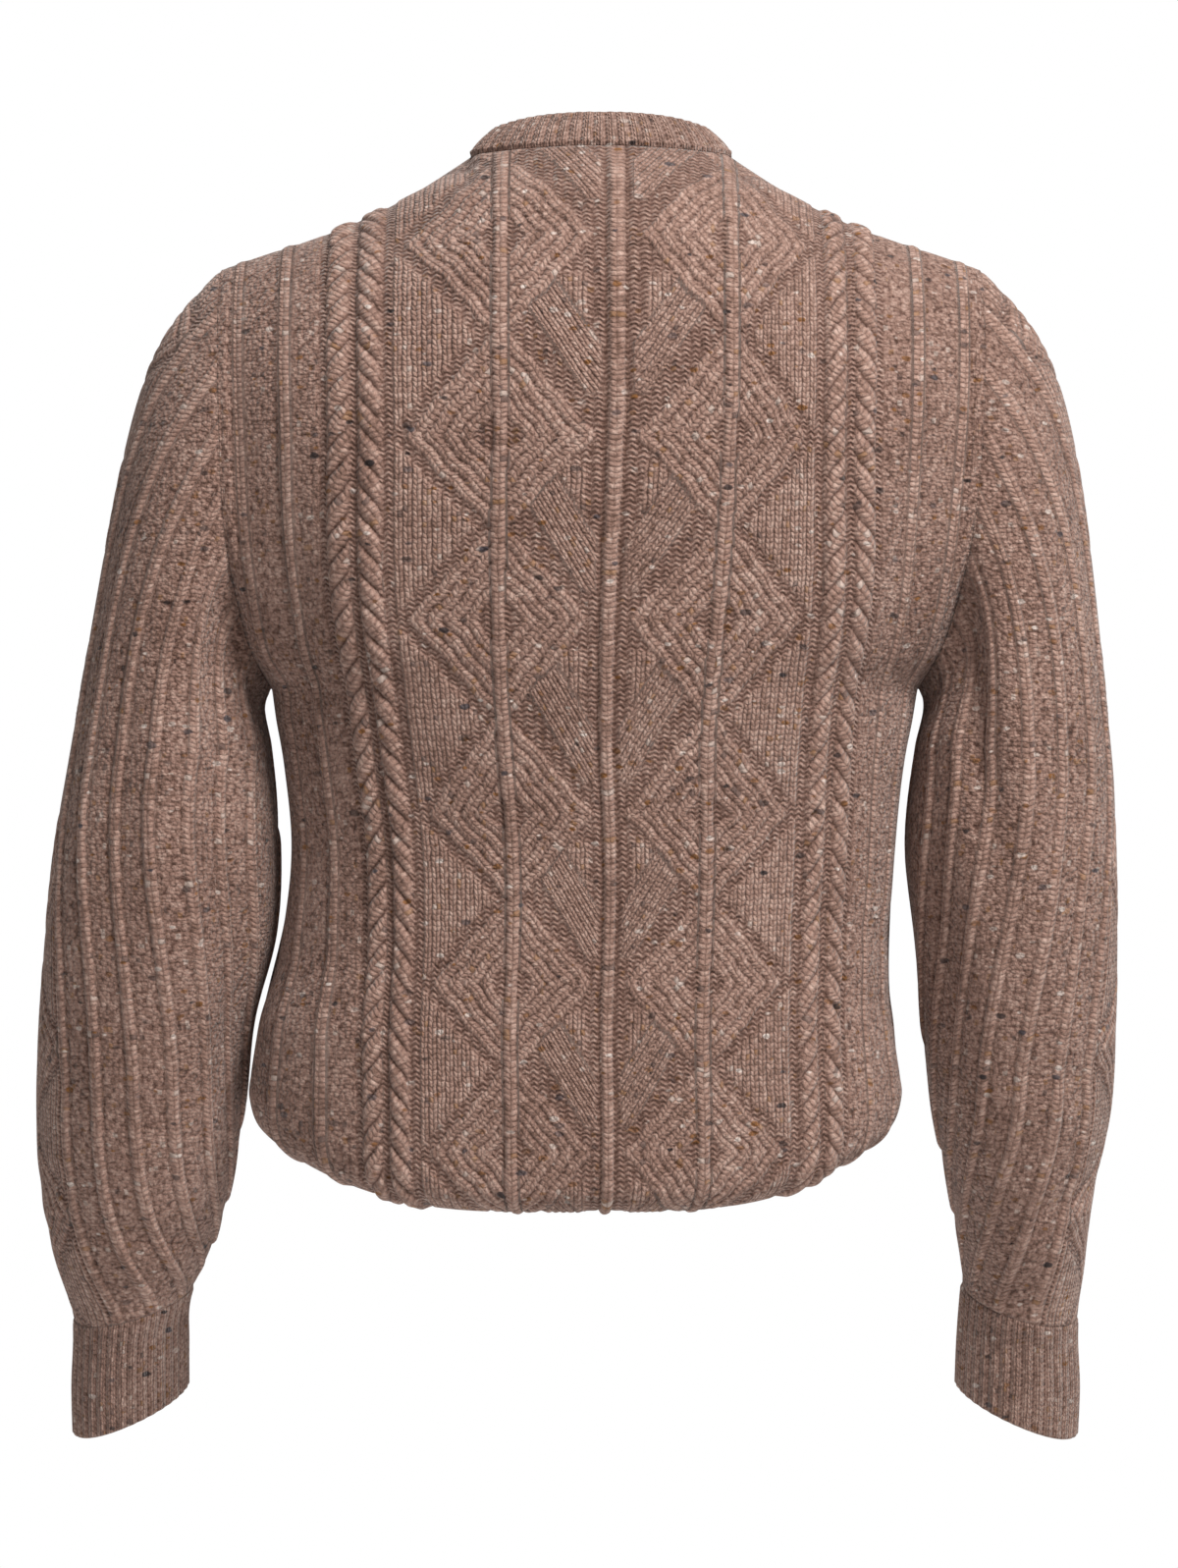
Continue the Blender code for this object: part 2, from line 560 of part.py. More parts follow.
def panel(name, collection, grid, phase, normal):
    """A closed wall from a panel's base points, its seam directions already shared."""
    rows, count = grid.shape[:2]
    rise = np.zeros((rows, count))
    for i in range(1, rows - 1):
        for j in range(1, count - 1):
            rise[i, j] = panel_relief(STITCH[j], phase[i, j])
    outer = grid + normal * rise[..., None]
    twist_cables(outer)
    wall = Wall()
    out = np.array(wall.add(outer.reshape(-1, 3))).reshape(rows, count)
    inn = np.array(wall.add((grid - normal * WALL).reshape(-1, 3))).reshape(rows, count)

    def cell(at, i0, i1, j0, j1):
        corners = ((i0, j0), (i0, j1), (i1, j1), (i1, j0))
        wall.quad(*[at[c] for c in corners], [rise[c] for c in corners])

    for i in range(rows - 1):
        for j in range(count - 1):
            cell(out, i, i + 1, j, j + 1)

    centre = count // 2
    plain_columns = sorted({centre + side * k for k in PLAIN_COLUMNS for side in (-1, 1)})
    plain_rows = set(coarse_steps(rows - ROLL_ROWS, 3)[1:]) | {1}
    plain_rows |= set(range(rows - ROLL_ROWS, rows - 1))
    plain_rows = sorted(plain_rows | set(range(ARMPIT_ROW - 3, ARMPIT_ROW + 2)))
    for i0, i1 in zip(plain_rows, plain_rows[1:]):
        for j0, j1 in zip(plain_columns, plain_columns[1:]):
            cell(inn, i0, i1, j0, j1)
    # the border of the inner side keeps every point, like the outer side
    across = {i: range(1, count - 1) for i in (0, rows - 1)}
    across.update({i: plain_columns for i in (1, rows - 2)})
    for i in (0, rows - 2):
        wall.zip([inn[i, j] for j in across[i]], [inn[i + 1, j] for j in across[i + 1]],
                 across[i], across[i + 1])
    along = {j: range(rows) for j in (0, count - 1)}
    along.update({j: [0] + plain_rows + [rows - 1] for j in (1, count - 2)})
    for j in (0, count - 2):
        wall.zip([inn[i, j] for i in along[j]], [inn[i, j + 1] for i in along[j + 1]],
                 along[j], along[j + 1])
    border = [(0, j) for j in range(count)] + [(i, count - 1) for i in range(1, rows)]
    border += [(rows - 1, j) for j in range(count - 2, -1, -1)]
    border += [(i, 0) for i in range(rows - 2, 0, -1)]
    for a, b in zip(border, border[1:] + border[:1]):
        wall.quad(out[a], out[b], inn[b], inn[a])
    return wall.build(name, collection)


# ---- sleeves ----

def sleeve_value(table, name, height):
    return smooth(SLEEVE_NAMES, table, name, height)


def arm_ring(table, side, height, angles):
    """Points round the arm: angle 0 is outward, a quarter turn is to the back."""
    outer = sleeve_value(table, "outer", height)
    inner = sleeve_value(table, "inner", height)
    mid_y = sleeve_value(table, "mid_y", height)
    depth = sleeve_value(table, "half_depth", height)
    step = 0.004
    lean = (sleeve_value(table, "mid_y", height + step) - mid_y) / step
    slant = sleeve_value(table, "slant", height)
    dx = (outer - inner) / 2 * np.cos(angles)
    dy = depth * np.sin(angles)
    z = height - lean * dy - slant * dx
    return np.stack([side * ((outer + inner) / 2 + dx), mid_y + dy, z], axis=-1)


def sleeve_columns(table):
    """Angles of the stitch columns round the arm, and the kind of each."""
    turn = np.linspace(0.0, np.pi, 400)
    ring = arm_ring(table, 1, ARM_TOP, turn)
    arc = np.concatenate([[0.0], np.cumsum(np.linalg.norm(np.diff(ring, axis=0), axis=1))])
    half = arc / arc[-1]
    shares = [(0.0, "rib"), (SLEEVE_RIB_HALF, "flat"), (SLEEVE_CHAIN_HALF / 2, "lattice"),
              (SLEEVE_CHAIN_HALF, "lattice")]
    for rib in SLEEVE_RIBS:
        shares += [(rib - SLEEVE_RIB_HALF, "flat"), (rib, "rib"), (rib + SLEEVE_RIB_HALF, "flat")]
    shares.append((1.0, "flat"))
    columns = [(float(np.interp(s, half, turn)), s, kind) for s, kind in shares]
    back = [(2 * np.pi - a, s, kind) for a, s, kind in columns[-2:0:-1]]
    return columns + back


def armhole_loop(back, front, column):
    """Seam points round an armhole from the shoulder point back, down and up the front."""
    back_edge = back[:ARMPIT_ROW + 1, column]
    front_edge = front[:ARMPIT_ROW + 1, column]
    loop = np.concatenate([back_edge, front_edge[-2:0:-1]])
    down = np.linalg.norm(np.diff(back_edge, axis=0), axis=1)
    up = np.linalg.norm(np.diff(front_edge, axis=0), axis=1)
    back_share = np.concatenate([[0.0], np.cumsum(down)]) / down.sum()
    front_share = np.concatenate([[0.0], np.cumsum(up)]) / up.sum()
    angles = np.concatenate([np.pi * back_share ** SEAM_WARP,
                             2 * np.pi - np.pi * front_share[-2:0:-1] ** SEAM_WARP])
    return loop, angles


def cap_points(loop, loop_angles, table, side, angles, t):
    """Points of the sleeve cap at a share t of the way from the armhole to the arm's top ring."""
    around = np.append(loop_angles, 2 * np.pi)
    closed = np.vstack([loop, loop[:1]])
    start = np.stack([np.interp(angles, around, closed[:, a]) for a in range(3)], axis=-1)
    end = arm_ring(table, side, ARM_TOP, angles)
    below = arm_ring(table, side, ARM_TOP - 0.01, angles)
    chord = np.linalg.norm(end - start, axis=1)[:, None]
    out = CAP_OUT + CAP_OUT_SWING * np.cos(2 * angles)
    leave = unit(np.stack([side * out, np.zeros_like(out), -np.ones_like(out)], axis=-1))
    arrive = unit(below - end)
    outward = np.maximum(np.cos(angles), 0.0)[:, None] ** 1.5
    leave = leave * chord * (1 + CAP_LEAVES * outward)
    arrive = arrive * chord * (1 + CAP_ARRIVES * outward)
    return ((2 * t ** 3 - 3 * t ** 2 + 1) * start + (t ** 3 - 2 * t ** 2 + t) * leave
            + (3 * t ** 2 - 2 * t ** 3) * end + (t ** 3 - t ** 2) * arrive)


def ring_normals(rings, side):
    """Unit normals of a stack of closed rings, pointing out of the sleeve."""
    down = np.gradient(rings, axis=0)
    around = np.roll(rings, -1, axis=1) - np.roll(rings, 1, axis=1)
    return unit(np.cross(down, around) * side)


def tube(name, collection, rings, normals, rises, wall_thickness, seam=None, coarse=4, cut=None,
         sewn_end=False):
    """A closed wall from a stack of rings.

    The first ring may be a seam with its own points. At a sewn end the plain inner side has
    the same points as the outer side, so that the next piece meets it face to face.
    """
    wall = Wall()
    count = rings.shape[1]
    share = np.arange(count) / count if cut is None else np.asarray(cut)
    outer = rings + normals * rises[..., None]
    inner_pick = list(range(0, count, coarse))
    inner_share = share[inner_pick]
    inner = rings[:, inner_pick] - normals[:, inner_pick] * wall_thickness
    out = [wall.add(r) for r in outer]
    inn = [wall.add(r) for r in inner]
    out_share = [share] * len(out)
    inn_share = [inner_share] * len(inn)
    if sewn_end:
        inn[-1] = wall.add(rings[-1] - normals[-1] * wall_thickness)
        inn_share[-1] = share
    if seam is not None:
        points, directions, seam_share = seam
        out = [wall.add(points)] + out
        inn = [wall.add(points - directions * wall_thickness)] + inn
        out_share = [seam_share] + out_share
        inn_share = [seam_share] + inn_share
    for k in range(len(out) - 1):
        if len(out[k]) == len(out[k + 1]):
            for j in range(len(out[k])):
                n = (j + 1) % len(out[k])
                r = k if seam is None else k - 1
                h = (rises[r, j], rises[r, n], rises[r + 1, n], rises[r + 1, j])
                wall.quad(out[k][j], out[k][n], out[k + 1][n], out[k + 1][j], h)
        else:
            wall.zip(out[k], out[k + 1], out_share[k], out_share[k + 1], closed=True)
    steps = coarse_steps(len(inn), 2) if seam is None else [0] + [
        1 + s for s in coarse_steps(len(inn) - 1, 2)]
    for a, b in zip(steps, steps[1:]):
        wall.zip(inn[a], inn[b], inn_share[a], inn_share[b], closed=True)
    wall.zip(out[0], inn[0], out_share[0], inn_share[0], closed=True)
    wall.zip(out[-1], inn[-1], out_share[-1], inn_share[-1], closed=True)
    return wall.build(name, collection)


def sleeve_relief(rings, columns):
    """Height of the ribs and of the outer diamond chain at each ring and column of a sleeve."""
    rises = np.zeros(rings.shape[:2])
    for k in range(1, len(rings) - 1):
        for j, (_, share, kind) in enumerate(columns):
            if kind == "rib":
                rises[k, j] = RIB_RISE
            step = round(2 * share / SLEEVE_CHAIN_HALF)
            if (kind == "lattice" or share == 0.0) and (step + k) % 2 == 0:
                rises[k, j] = DIAMOND_RISE
    return rises


def fit_sleeve(side, table, column, back, front, back_normal, front_normal):
    """Rings of a sleeve and its seam at the armhole; turns the panels' edges to suit it."""
    loop, loop_angles = armhole_loop(back, front, column)
    columns = sleeve_columns(table)
    angles = np.array([c[0] for c in columns])
    stack = [cap_points(loop, loop_angles, table, side, angles, k / CAP_ROWS)
             for k in range(CAP_ROWS + 1)]
    stack += [arm_ring(table, side, ARM_TOP + (SLEEVE_END - ARM_TOP) * k / ARM_ROWS, angles)
              for k in range(1, ARM_ROWS + 1)]
    rings = np.array(stack)
    normals = ring_normals(rings, side)
    around = np.append(angles, 2 * np.pi)
    closed = np.vstack([normals[0], normals[0][:1]])
    own = unit(np.stack([np.interp(loop_angles, around, closed[:, a]) for a in range(3)], axis=-1))
    panels = np.concatenate([back_normal[:ARMPIT_ROW + 1, column],
                             front_normal[ARMPIT_ROW - 1:0:-1, column]])
    leaves = unit(cap_points(loop, loop_angles, table, side, loop_angles, CAP_NEAR) - loop)
    for_panel, for_sleeve = seam_directions(panels, own, leaves)
    back_normal[:ARMPIT_ROW + 1, column] = for_panel[:ARMPIT_ROW + 1]
    front_normal[0, column] = for_panel[0]
    front_normal[ARMPIT_ROW:0:-1, column] = for_panel[ARMPIT_ROW:]
    seam = loop + across_seam(leaves, for_sleeve) * SEAM_GAP
    return rings, normals, columns, (seam, for_sleeve, loop_angles / (2 * np.pi))


def seam_shares(seam):
    """How far round a closed seam each of its points lies."""
    lengths = np.linalg.norm(np.roll(seam, -1, axis=0) - seam, axis=1)
    return np.concatenate([[0.0], np.cumsum(lengths)[:-1]]) / lengths.sum()


def neckband(collection, back, front, back_normal, front_normal):
    """The rib crew neck; turns the panels' neck edges to suit it."""
    first = int(np.argmin(abs(STITCH + NECK_COLUMN)))
    last = int(np.argmin(abs(STITCH - NECK_COLUMN)))
    behind = np.arange(last, first - 1, -1)
    before = np.arange(first + 1, last)
    loop = np.concatenate([back[0, behind], front[0, before]])
    panels = np.concatenate([back_normal[0, behind], front_normal[0, before]])
    centre = np.array([0.0, NECKBAND_CENTRE_Y, 0.0])
    flat = (loop - centre) * np.array([1.0, 1.0, 0.0])
    top = centre + flat * NECKBAND_CLOSE + loop * np.array([0.0, 0.0, 1.0])
    top = top + np.array([0.0, 0.0, NECKBAND_RISE])
    up = unit(top - loop)
    own = unit(np.cross(np.roll(loop, -1, axis=0) - np.roll(loop, 1, axis=0), up))
    own = own * np.sign(np.sum(own * flat, axis=1))[:, None]
    for_panel, for_band = seam_directions(panels, own, up)
    back_normal[0, behind] = for_panel[:len(behind)]
    front_normal[0, before] = for_panel[len(behind):]
    front_normal[0, last] = for_panel[0]
    front_normal[0, first] = for_panel[len(behind) - 1]

    seam = loop + across_seam(up, for_band) * SEAM_GAP
    share = seam_shares(seam)
    fine = np.arange(2 * NECK_RIBS) / (2 * NECK_RIBS)

    def spread(values):
        closed = np.vstack([values, values[:1]])
        at = np.append(share, 1.0)
        return np.stack([np.interp(fine, at, closed[:, a]) for a in range(3)], axis=-1)

    rings = [spread(seam + (top - seam) * t) for t in NECKBAND_STEPS]
    rings.append(spread(top) - spread(own) * RIM_DRAW)
    rises = np.zeros((3, 2 * NECK_RIBS))
    rises[:2, ::2] = BAND_RIB_RISE
    tube("neckband", collection, np.stack(rings), np.stack([unit(spread(own))] * 3), rises,
         BAND_WALL, seam=(seam, for_band, share), coarse=6)


def hem_rib(collection, back, front, back_normal, front_normal):
    """The rib band that the cloth carries up inside itself at the hem."""
    loop = np.concatenate([back[-1, ::-1], front[-1, 1:-1]])
    directions = np.concatenate([back_normal[-1, ::-1], front_normal[-1, 1:-1]])
    share = np.arange(len(loop)) / len(loop)
    picked = np.arange(0, len(loop), HEM_RIB_STEP)
    level = unit(directions * np.array([1.0, 1.0, 0.0]))[picked]
    up = np.array([0.0, 0.0, 1.0])
    rings = np.stack([loop[picked] + up * HEM_RIB_HEIGHT * t for t in HEM_RIB_STEPS])
    tube("hem_rib", collection, rings, np.stack([level] * 2), np.zeros(rings.shape[:2]), WALL,
         seam=(loop + up * SEAM_GAP, directions, share), coarse=1, cut=share[picked])


def cuff(name, collection, table, side, sleeve_ring, sleeve_normal):
    """A rib cuff below a sleeve's last ring."""
    turn = np.linspace(0.0, 2 * np.pi, 721)[:-1]
    end_centre = arm_ring(table, side, CUFF_END, turn).mean(axis=0)
    down = unit(end_centre - sleeve_ring.mean(axis=0))
    seam = sleeve_ring + across_seam(down, sleeve_normal) * SEAM_GAP
    full_share = seam_shares(arm_ring(table, side, SLEEVE_END, turn))
    fine = np.arange(2 * CUFF_RIBS) / (2 * CUFF_RIBS)
    angles = np.interp(fine, np.append(full_share, 1.0), np.append(turn, 2 * np.pi))
    heights = [SLEEVE_END + (CUFF_END - SLEEVE_END) * t for t in CUFF_STEPS]
    rings = np.array([arm_ring(table, side, h, angles) for h in heights])
    rises = np.zeros((3, 2 * CUFF_RIBS))
    rises[:2, ::2] = BAND_RIB_RISE
    rises[2] = -RIM_DRAW
    tube(name, collection, rings, ring_normals(rings, side), rises, BAND_WALL,
         seam=(seam, sleeve_normal, seam_shares(seam)), coarse=6)


def main():
    for item in list(bpy.data.objects):
        bpy.data.objects.remove(item, do_unlink=True)
    collection = bpy.data.collections.new("cable_knit_sweater")
    bpy.context.scene.collection.children.link(collection)

    back, back_phase = torso_grid("back")
    front, front_phase = torso_grid("front")
    back_normal = grid_normals(back, 1)
    front_normal = grid_normals(front, -1)
    last = back.shape[1] - 1

    # the two panels share their shoulder seams and, below the armholes, their side seams
    seams = [(0, j) for j in range(last + 1) if abs(STITCH[j]) > NECK_TURN]
    seams += [(i, j) for i in range(ARMPIT_ROW, back.shape[0]) for j in (0, last)]
    for at in seams:
        back[at] = front[at] = (back[at] + front[at]) / 2
        back_normal[at] = front_normal[at] = unit(back_normal[at] + front_normal[at])

    sides = (("left", 1, LEFT_SLEEVE, last), ("right", -1, RIGHT_SLEEVE, 0))
    fitted = [fit_sleeve(side, table, column, back, front, back_normal, front_normal)
              for _, side, table, column in sides]
    neckband(collection, back, front, back_normal, front_normal)
    hem_rib(collection, back, front, back_normal, front_normal)

    # the shared seams open by half the gap on each side
    for at in seams:
        back[at][1] += SEAM_GAP / 2
        front[at][1] -= SEAM_GAP / 2
    panel("back", collection, back, back_phase, back_normal)
    panel("front", collection, front, front_phase, front_normal)

    for (name, side, table, _), (rings, normals, columns, seam) in zip(sides, fitted):
        share = np.array([c[0] for c in columns]) / (2 * np.pi)
        tube("sleeve_" + name, collection, rings[1:], normals[1:],
             sleeve_relief(rings, columns)[1:], WALL, seam=seam, cut=share, sewn_end=True)
        cuff("cuff_" + name, collection, table, side, rings[-1], normals[-1])


main()
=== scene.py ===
# %% [markdown]
# # A worn cable knit sweater
#
# The garment is a chunky wool pullover, seen as it hangs on a wearer's shoulders. This lesson
# dresses the plain solids of the part: each cloth piece is rebuilt as a fine closed wall whose
# outer side carries the raised stitches, and one wool material draws the yarn on it.
# Sizes are in metres, +Z is up, the back faces +Y and the wearer's left arm is at +X.

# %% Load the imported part
import time

import bmesh
import bpy
import numpy as np
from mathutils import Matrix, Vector


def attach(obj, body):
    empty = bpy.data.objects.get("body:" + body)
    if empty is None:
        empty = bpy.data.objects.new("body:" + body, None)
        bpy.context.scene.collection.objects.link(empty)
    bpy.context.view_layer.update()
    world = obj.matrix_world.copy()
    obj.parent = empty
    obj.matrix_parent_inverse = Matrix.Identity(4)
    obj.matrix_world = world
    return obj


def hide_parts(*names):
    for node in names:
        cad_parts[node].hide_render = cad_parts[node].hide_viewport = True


started = time.time()
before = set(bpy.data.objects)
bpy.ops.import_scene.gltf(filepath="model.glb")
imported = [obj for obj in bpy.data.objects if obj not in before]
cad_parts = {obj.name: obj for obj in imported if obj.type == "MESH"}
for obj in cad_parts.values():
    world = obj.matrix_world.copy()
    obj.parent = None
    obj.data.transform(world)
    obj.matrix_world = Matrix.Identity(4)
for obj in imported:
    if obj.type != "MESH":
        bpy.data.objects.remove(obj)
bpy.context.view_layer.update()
print("solids:", sorted(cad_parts))

# %% [markdown]
# ## Camera
#
# A long lens from far behind keeps the sweater free of distortion, as a catalogue view does.
# It looks level at the middle of the back. The sensor measures the long, upright side.

# %% Camera
VIEW_MIDDLE = (0.0068, -0.361)       # across and height of the middle of the view
VIEW_DISTANCE = 2.6                  # from the camera to the garment's middle
SENSOR = 36.0                        # millimetres
VIEW_HEIGHT = 0.910                  # what the upright side of the view spans at the garment

lens_body = bpy.data.cameras.new("back_view")
lens_body.sensor_width = SENSOR
lens_body.lens = SENSOR * VIEW_DISTANCE / VIEW_HEIGHT
camera = bpy.data.objects.new("back_view", lens_body)
camera.location = (VIEW_MIDDLE[0], VIEW_DISTANCE, VIEW_MIDDLE[1])
camera.rotation_euler = Vector((0.0, 1.0, 0.0)).to_track_quat("Z", "Y").to_euler()
bpy.context.scene.collection.objects.link(camera)
bpy.context.scene.camera = camera
print("lens:", round(lens_body.lens, 1), "mm")

# %% [markdown]
# ## Curves through tables
#
# A pattern maker writes the shape of a garment as a table: one row per height, one column per
# measure. A smooth curve through the rows gives the measure at any height between them.
# Cubic pieces that share their slopes at each row (Hermite curves) do this without waves.

# %% Curves through tables
def cubic(start, end, leave, arrive, t):
    """Place at a share t of a cubic piece, from its two ends and its slopes there."""
    return ((2 * t ** 3 - 3 * t ** 2 + 1) * start + (t ** 3 - 2 * t ** 2 + t) * leave
            + (3 * t ** 2 - 2 * t ** 3) * end + (t ** 3 - t ** 2) * arrive)


def smooth(names, table, name, at):
    """Value of one named column of a table at a height, on a smooth curve through its rows."""
    rows = sorted(table)
    heights = np.array([row[0] for row in rows])
    values = np.array([row[names.index(name)] for row in rows])
    slopes = np.gradient(values, heights)
    at = np.clip(at, heights[0], heights[-1])
    k = np.clip(np.searchsorted(heights, at) - 1, 0, len(heights) - 2)
    step = heights[k + 1] - heights[k]
    t = (at - heights[k]) / step
    return cubic(values[k], values[k + 1], step * slopes[k], step * slopes[k + 1], t)


def ease(t):
    t = np.clip(t, 0.0, 1.0)
    return t * t * (3 - 2 * t)


def unit(v):
    v = np.asarray(v, dtype=float)
    return v / np.maximum(np.linalg.norm(v, axis=-1, keepdims=True), 1e-12)


def run_along(points, axis=0):
    """Distance along a line of points, or along the rows or columns of a grid, from zero."""
    steps = np.linalg.norm(np.diff(points, axis=axis), axis=-1)
    return np.concatenate([0 * np.take(steps, [0], axis), np.cumsum(steps, axis)], axis)


# %% [markdown]
# ## The stitch plan
#
# Knitters plan a cable sweater in columns. From the centre of a panel outwards come a rib, a
# chain of nested diamonds, two rope cables, and moss stitch with narrow ribs in it. The places
# are distances across the flat cloth, the same on both panels.

# %% Stitch plan
WALL = 0.0024            # knitted cloth under its raised stitches
BAND_WALL = 0.0032       # folded rib of the neckband and cuffs
SEAM_GAP = 0.0003        # clear distance between two pieces at a seam
VALLEY_PARTING = 1.3     # how soon two walls take their own directions in a valley
WALE = 0.0053            # width of one stitch
COURSE = 0.0030          # height of one row of stitches

HALF_PANEL = 0.250       # centre to side seam
ARMHOLE_EDGE = 0.222     # centre to the armhole edge
KEPT_AT_ARMHOLE = 0.2115  # stitches inside this run straight up past the armhole
ARMHOLE_EASE = 0.014     # height over which the side stitches crowd into the armhole edge
EVEN_ZONE = 0.165        # stitches inside this keep an even gauge on the body
CHAIN = 0.060            # centre of a chain of diamonds
LATTICE = 0.0155         # a third of a diamond's half width
RIB_HALF = 0.003         # half width of a rib's crown
CABLES = (0.130, 0.148)  # crowns of the inner and the outer rope cable
SIDE_RIBS = (0.1795, 0.2085)
NECK_COLUMN = CHAIN + LATTICE  # the stitch column that meets the high point of the shoulder
NECK_TURN = 0.0712       # a stitch column where the neck seam turns hardest
COLUMNS = (0.0, RIB_HALF, CHAIN - 3 * LATTICE, CHAIN - 2 * LATTICE, CHAIN - LATTICE,
           CHAIN - RIB_HALF, CHAIN, CHAIN + RIB_HALF, NECK_TURN, CHAIN + LATTICE,
           CHAIN + 2 * LATTICE, CHAIN + 3 * LATTICE, 0.1235, CABLES[0], 0.1365,
           0.1413, CABLES[1], 0.155,
           SIDE_RIBS[0] - RIB_HALF, SIDE_RIBS[0], SIDE_RIBS[0] + RIB_HALF,
           SIDE_RIBS[1] - RIB_HALF, SIDE_RIBS[1], SIDE_RIBS[1] + RIB_HALF, 0.230, HALF_PANEL)
STITCH = np.array([-s for s in COLUMNS[:0:-1]] + list(COLUMNS))
print(len(STITCH), "stitch columns from seam to seam")

# %% [markdown]
# ## The worn body, neck and hem
#
# The panels hang round a body. Its level sections are ovals, wider at the chest and drawn in
# at the waist, where the cloth also swings a little to the side. The shoulder line, the neck
# curve and the armhole each have their own short table, as on a paper pattern.

# %% Body tables
# lean: sideways shift of a section; twist: shift of the centre stitch round the section;
# gauge: worn width of a stitch against its flat width
BODY_NAMES = ("height", "lean", "twist", "half_width", "back_depth", "front_depth", "gauge")
BODY = (
    (-0.620, 0.0145, -0.0180, 0.1800, 0.0950, 0.1150, 0.90),
    (-0.575, 0.0148, -0.0185, 0.1870, 0.0995, 0.1195, 0.90),
    (-0.540, 0.0148, -0.0185, 0.1890, 0.1010, 0.1215, 0.90),
    (-0.504, 0.0145, -0.0175, 0.1842, 0.0985, 0.1200, 0.90),
    (-0.476, 0.0123, -0.0160, 0.1797, 0.0950, 0.1175, 0.90),
    (-0.440, 0.0078, -0.0125, 0.1757, 0.0925, 0.1160, 0.90),
    (-0.400, 0.0045, -0.0095, 0.1748, 0.0930, 0.1155, 0.91),
    (-0.350, 0.0040, -0.0070, 0.1795, 0.0990, 0.1180, 0.94),
    (-0.306, 0.0035, -0.0050, 0.1870, 0.1060, 0.1210, 0.97),
    (-0.250, 0.0020, -0.0025, 0.1870, 0.1130, 0.1240, 1.00),
    (-0.200, 0.0010, -0.0008, 0.1870, 0.1165, 0.1240, 1.00),
    (-0.160, 0.0000, 0.0000, 0.1870, 0.1170, 0.1220, 1.00),
    (-0.100, 0.0000, 0.0000, 0.1870, 0.1150, 0.1190, 1.00),
    (0.040, 0.0000, 0.0000, 0.1870, 0.1120, 0.1150, 1.00),
)
ROUNDING = 2.25          # exponent of the sections, 2 is an ellipse
DIAMOND_CENTRES = (-0.168, -0.2698, -0.378, -0.473, -0.567)
ROWS_PER_DIAMOND = 6
TOP_DIAMOND_LENGTH = 0.117   # of the diamond between the shoulders
TOP_ROWS = 9             # rows of the net from the top edge to the chest
CHEST = DIAMOND_CENTRES[0]
ARMPIT = DIAMOND_CENTRES[1] + (DIAMOND_CENTRES[2] - DIAMOND_CENTRES[1]) * 2 / ROWS_PER_DIAMOND
ARMPIT_ROW = TOP_ROWS + ROWS_PER_DIAMOND + 2

ARMHOLE_NAMES = ("height", "edge")   # edge: distance from the centre of the body
ARMHOLE = ((ARMPIT, 0.187), (-0.298, 0.1915), (-0.280, 0.199), (-0.250, 0.2065),
           (-0.210, 0.2125), (-0.168, 0.2155), (-0.130, 0.2172), (-0.095, 0.2182),
           (-0.050, 0.2185))
ARMHOLE_HALF_DEPTH = 0.064   # from its middle to its back or front edge, where it is widest
ARMHOLE_WIDEST = -0.200      # height of that place

# the shoulder line is steep beside the neck and slacker further out
SHOULDER_LINE = ((0.0250, 0.000), (0.0205, 0.030), (0.0000, 0.0766), (-0.0115, 0.094),
                 (-0.0210, 0.109), (-0.0340, 0.1345), (-0.0460, 0.164), (-0.0570, 0.1985),
                 (-0.0640, 0.2185))
SHOULDER_SEAM_Y = 0.012
CROWN_AT_CENTRE = 0.185  # height over which the back rounds over to the shoulder seam
CROWN_SLOPE = 0.385      # how fast that height shrinks towards the side
CHEST_ROUNDING = 1.5     # exponent of the same rounding at the middle of the front
CHEST_WIDTH = 0.150      # past this the front rounds over like the back
SHOULDER_EASE = 0.040    # width over which the rows spread evenly again, outside the neck
NECK_BACK = 0.050        # how far the neck seam runs behind the shoulder seam
NECK_BACK_OVAL = 2.2     # exponent of that curve, seen from above
NECK_FRONT_DROP = 0.068  # how far it drops at the front
NECK_FRONT_OVAL = 2.1    # exponent of that curve, seen from the front

HEM_CENTRE = -0.601      # lowest line of the cloth at the centre
HEM_SIDE_LIFT = 0.034    # how much higher it runs at the sides
HEM_CURVE = 4            # exponent of that rise
ROLL_AT_CENTRE = 0.018   # radius of the turn that carries the cloth up inside
ROLL_AT_SIDE = 0.026     # the same at the side seams
ROLL_ROWS = 5
LAST_DIAMOND = 0.106     # length of the diamond that turns under

# %% [markdown]
# ## Sections of the body
#
# Each level section is an oval of the family |x/a|^n + |y/b|^n = 1. Stitches are laid off along
# its edge by their real distance, so ribs and cables keep their width where the cloth turns
# away towards the side.

# %% Sections of the body
def body(name, height):
    return smooth(BODY_NAMES, BODY, name, height)


def oval(share, power=ROUNDING):
    """How deep an oval still is at a share of its half width, both from 0 to 1."""
    return (1 - np.abs(share) ** power) ** (1 / power)


def armhole_edge(height):
    """Distance of the armhole edge from the centre, and of the back edge from the side plane."""
    edge = smooth(ARMHOLE_NAMES, ARMHOLE, "edge", height)
    drop = np.clip((ARMHOLE_WIDEST - height) / (ARMHOLE_WIDEST - ARMPIT), 0.0, 1.0)
    return edge, ARMHOLE_HALF_DEPTH * np.sqrt(1 - drop ** 2)


def section_width(height):
    """Half width of the oval that a panel follows at a height."""
    if height <= ARMPIT:
        return float(body("half_width", height))
    edge, edge_y = armhole_edge(min(height, CHEST))
    depth = body("back_depth", min(height, CHEST))
    return float(edge / oval(edge_y / depth))


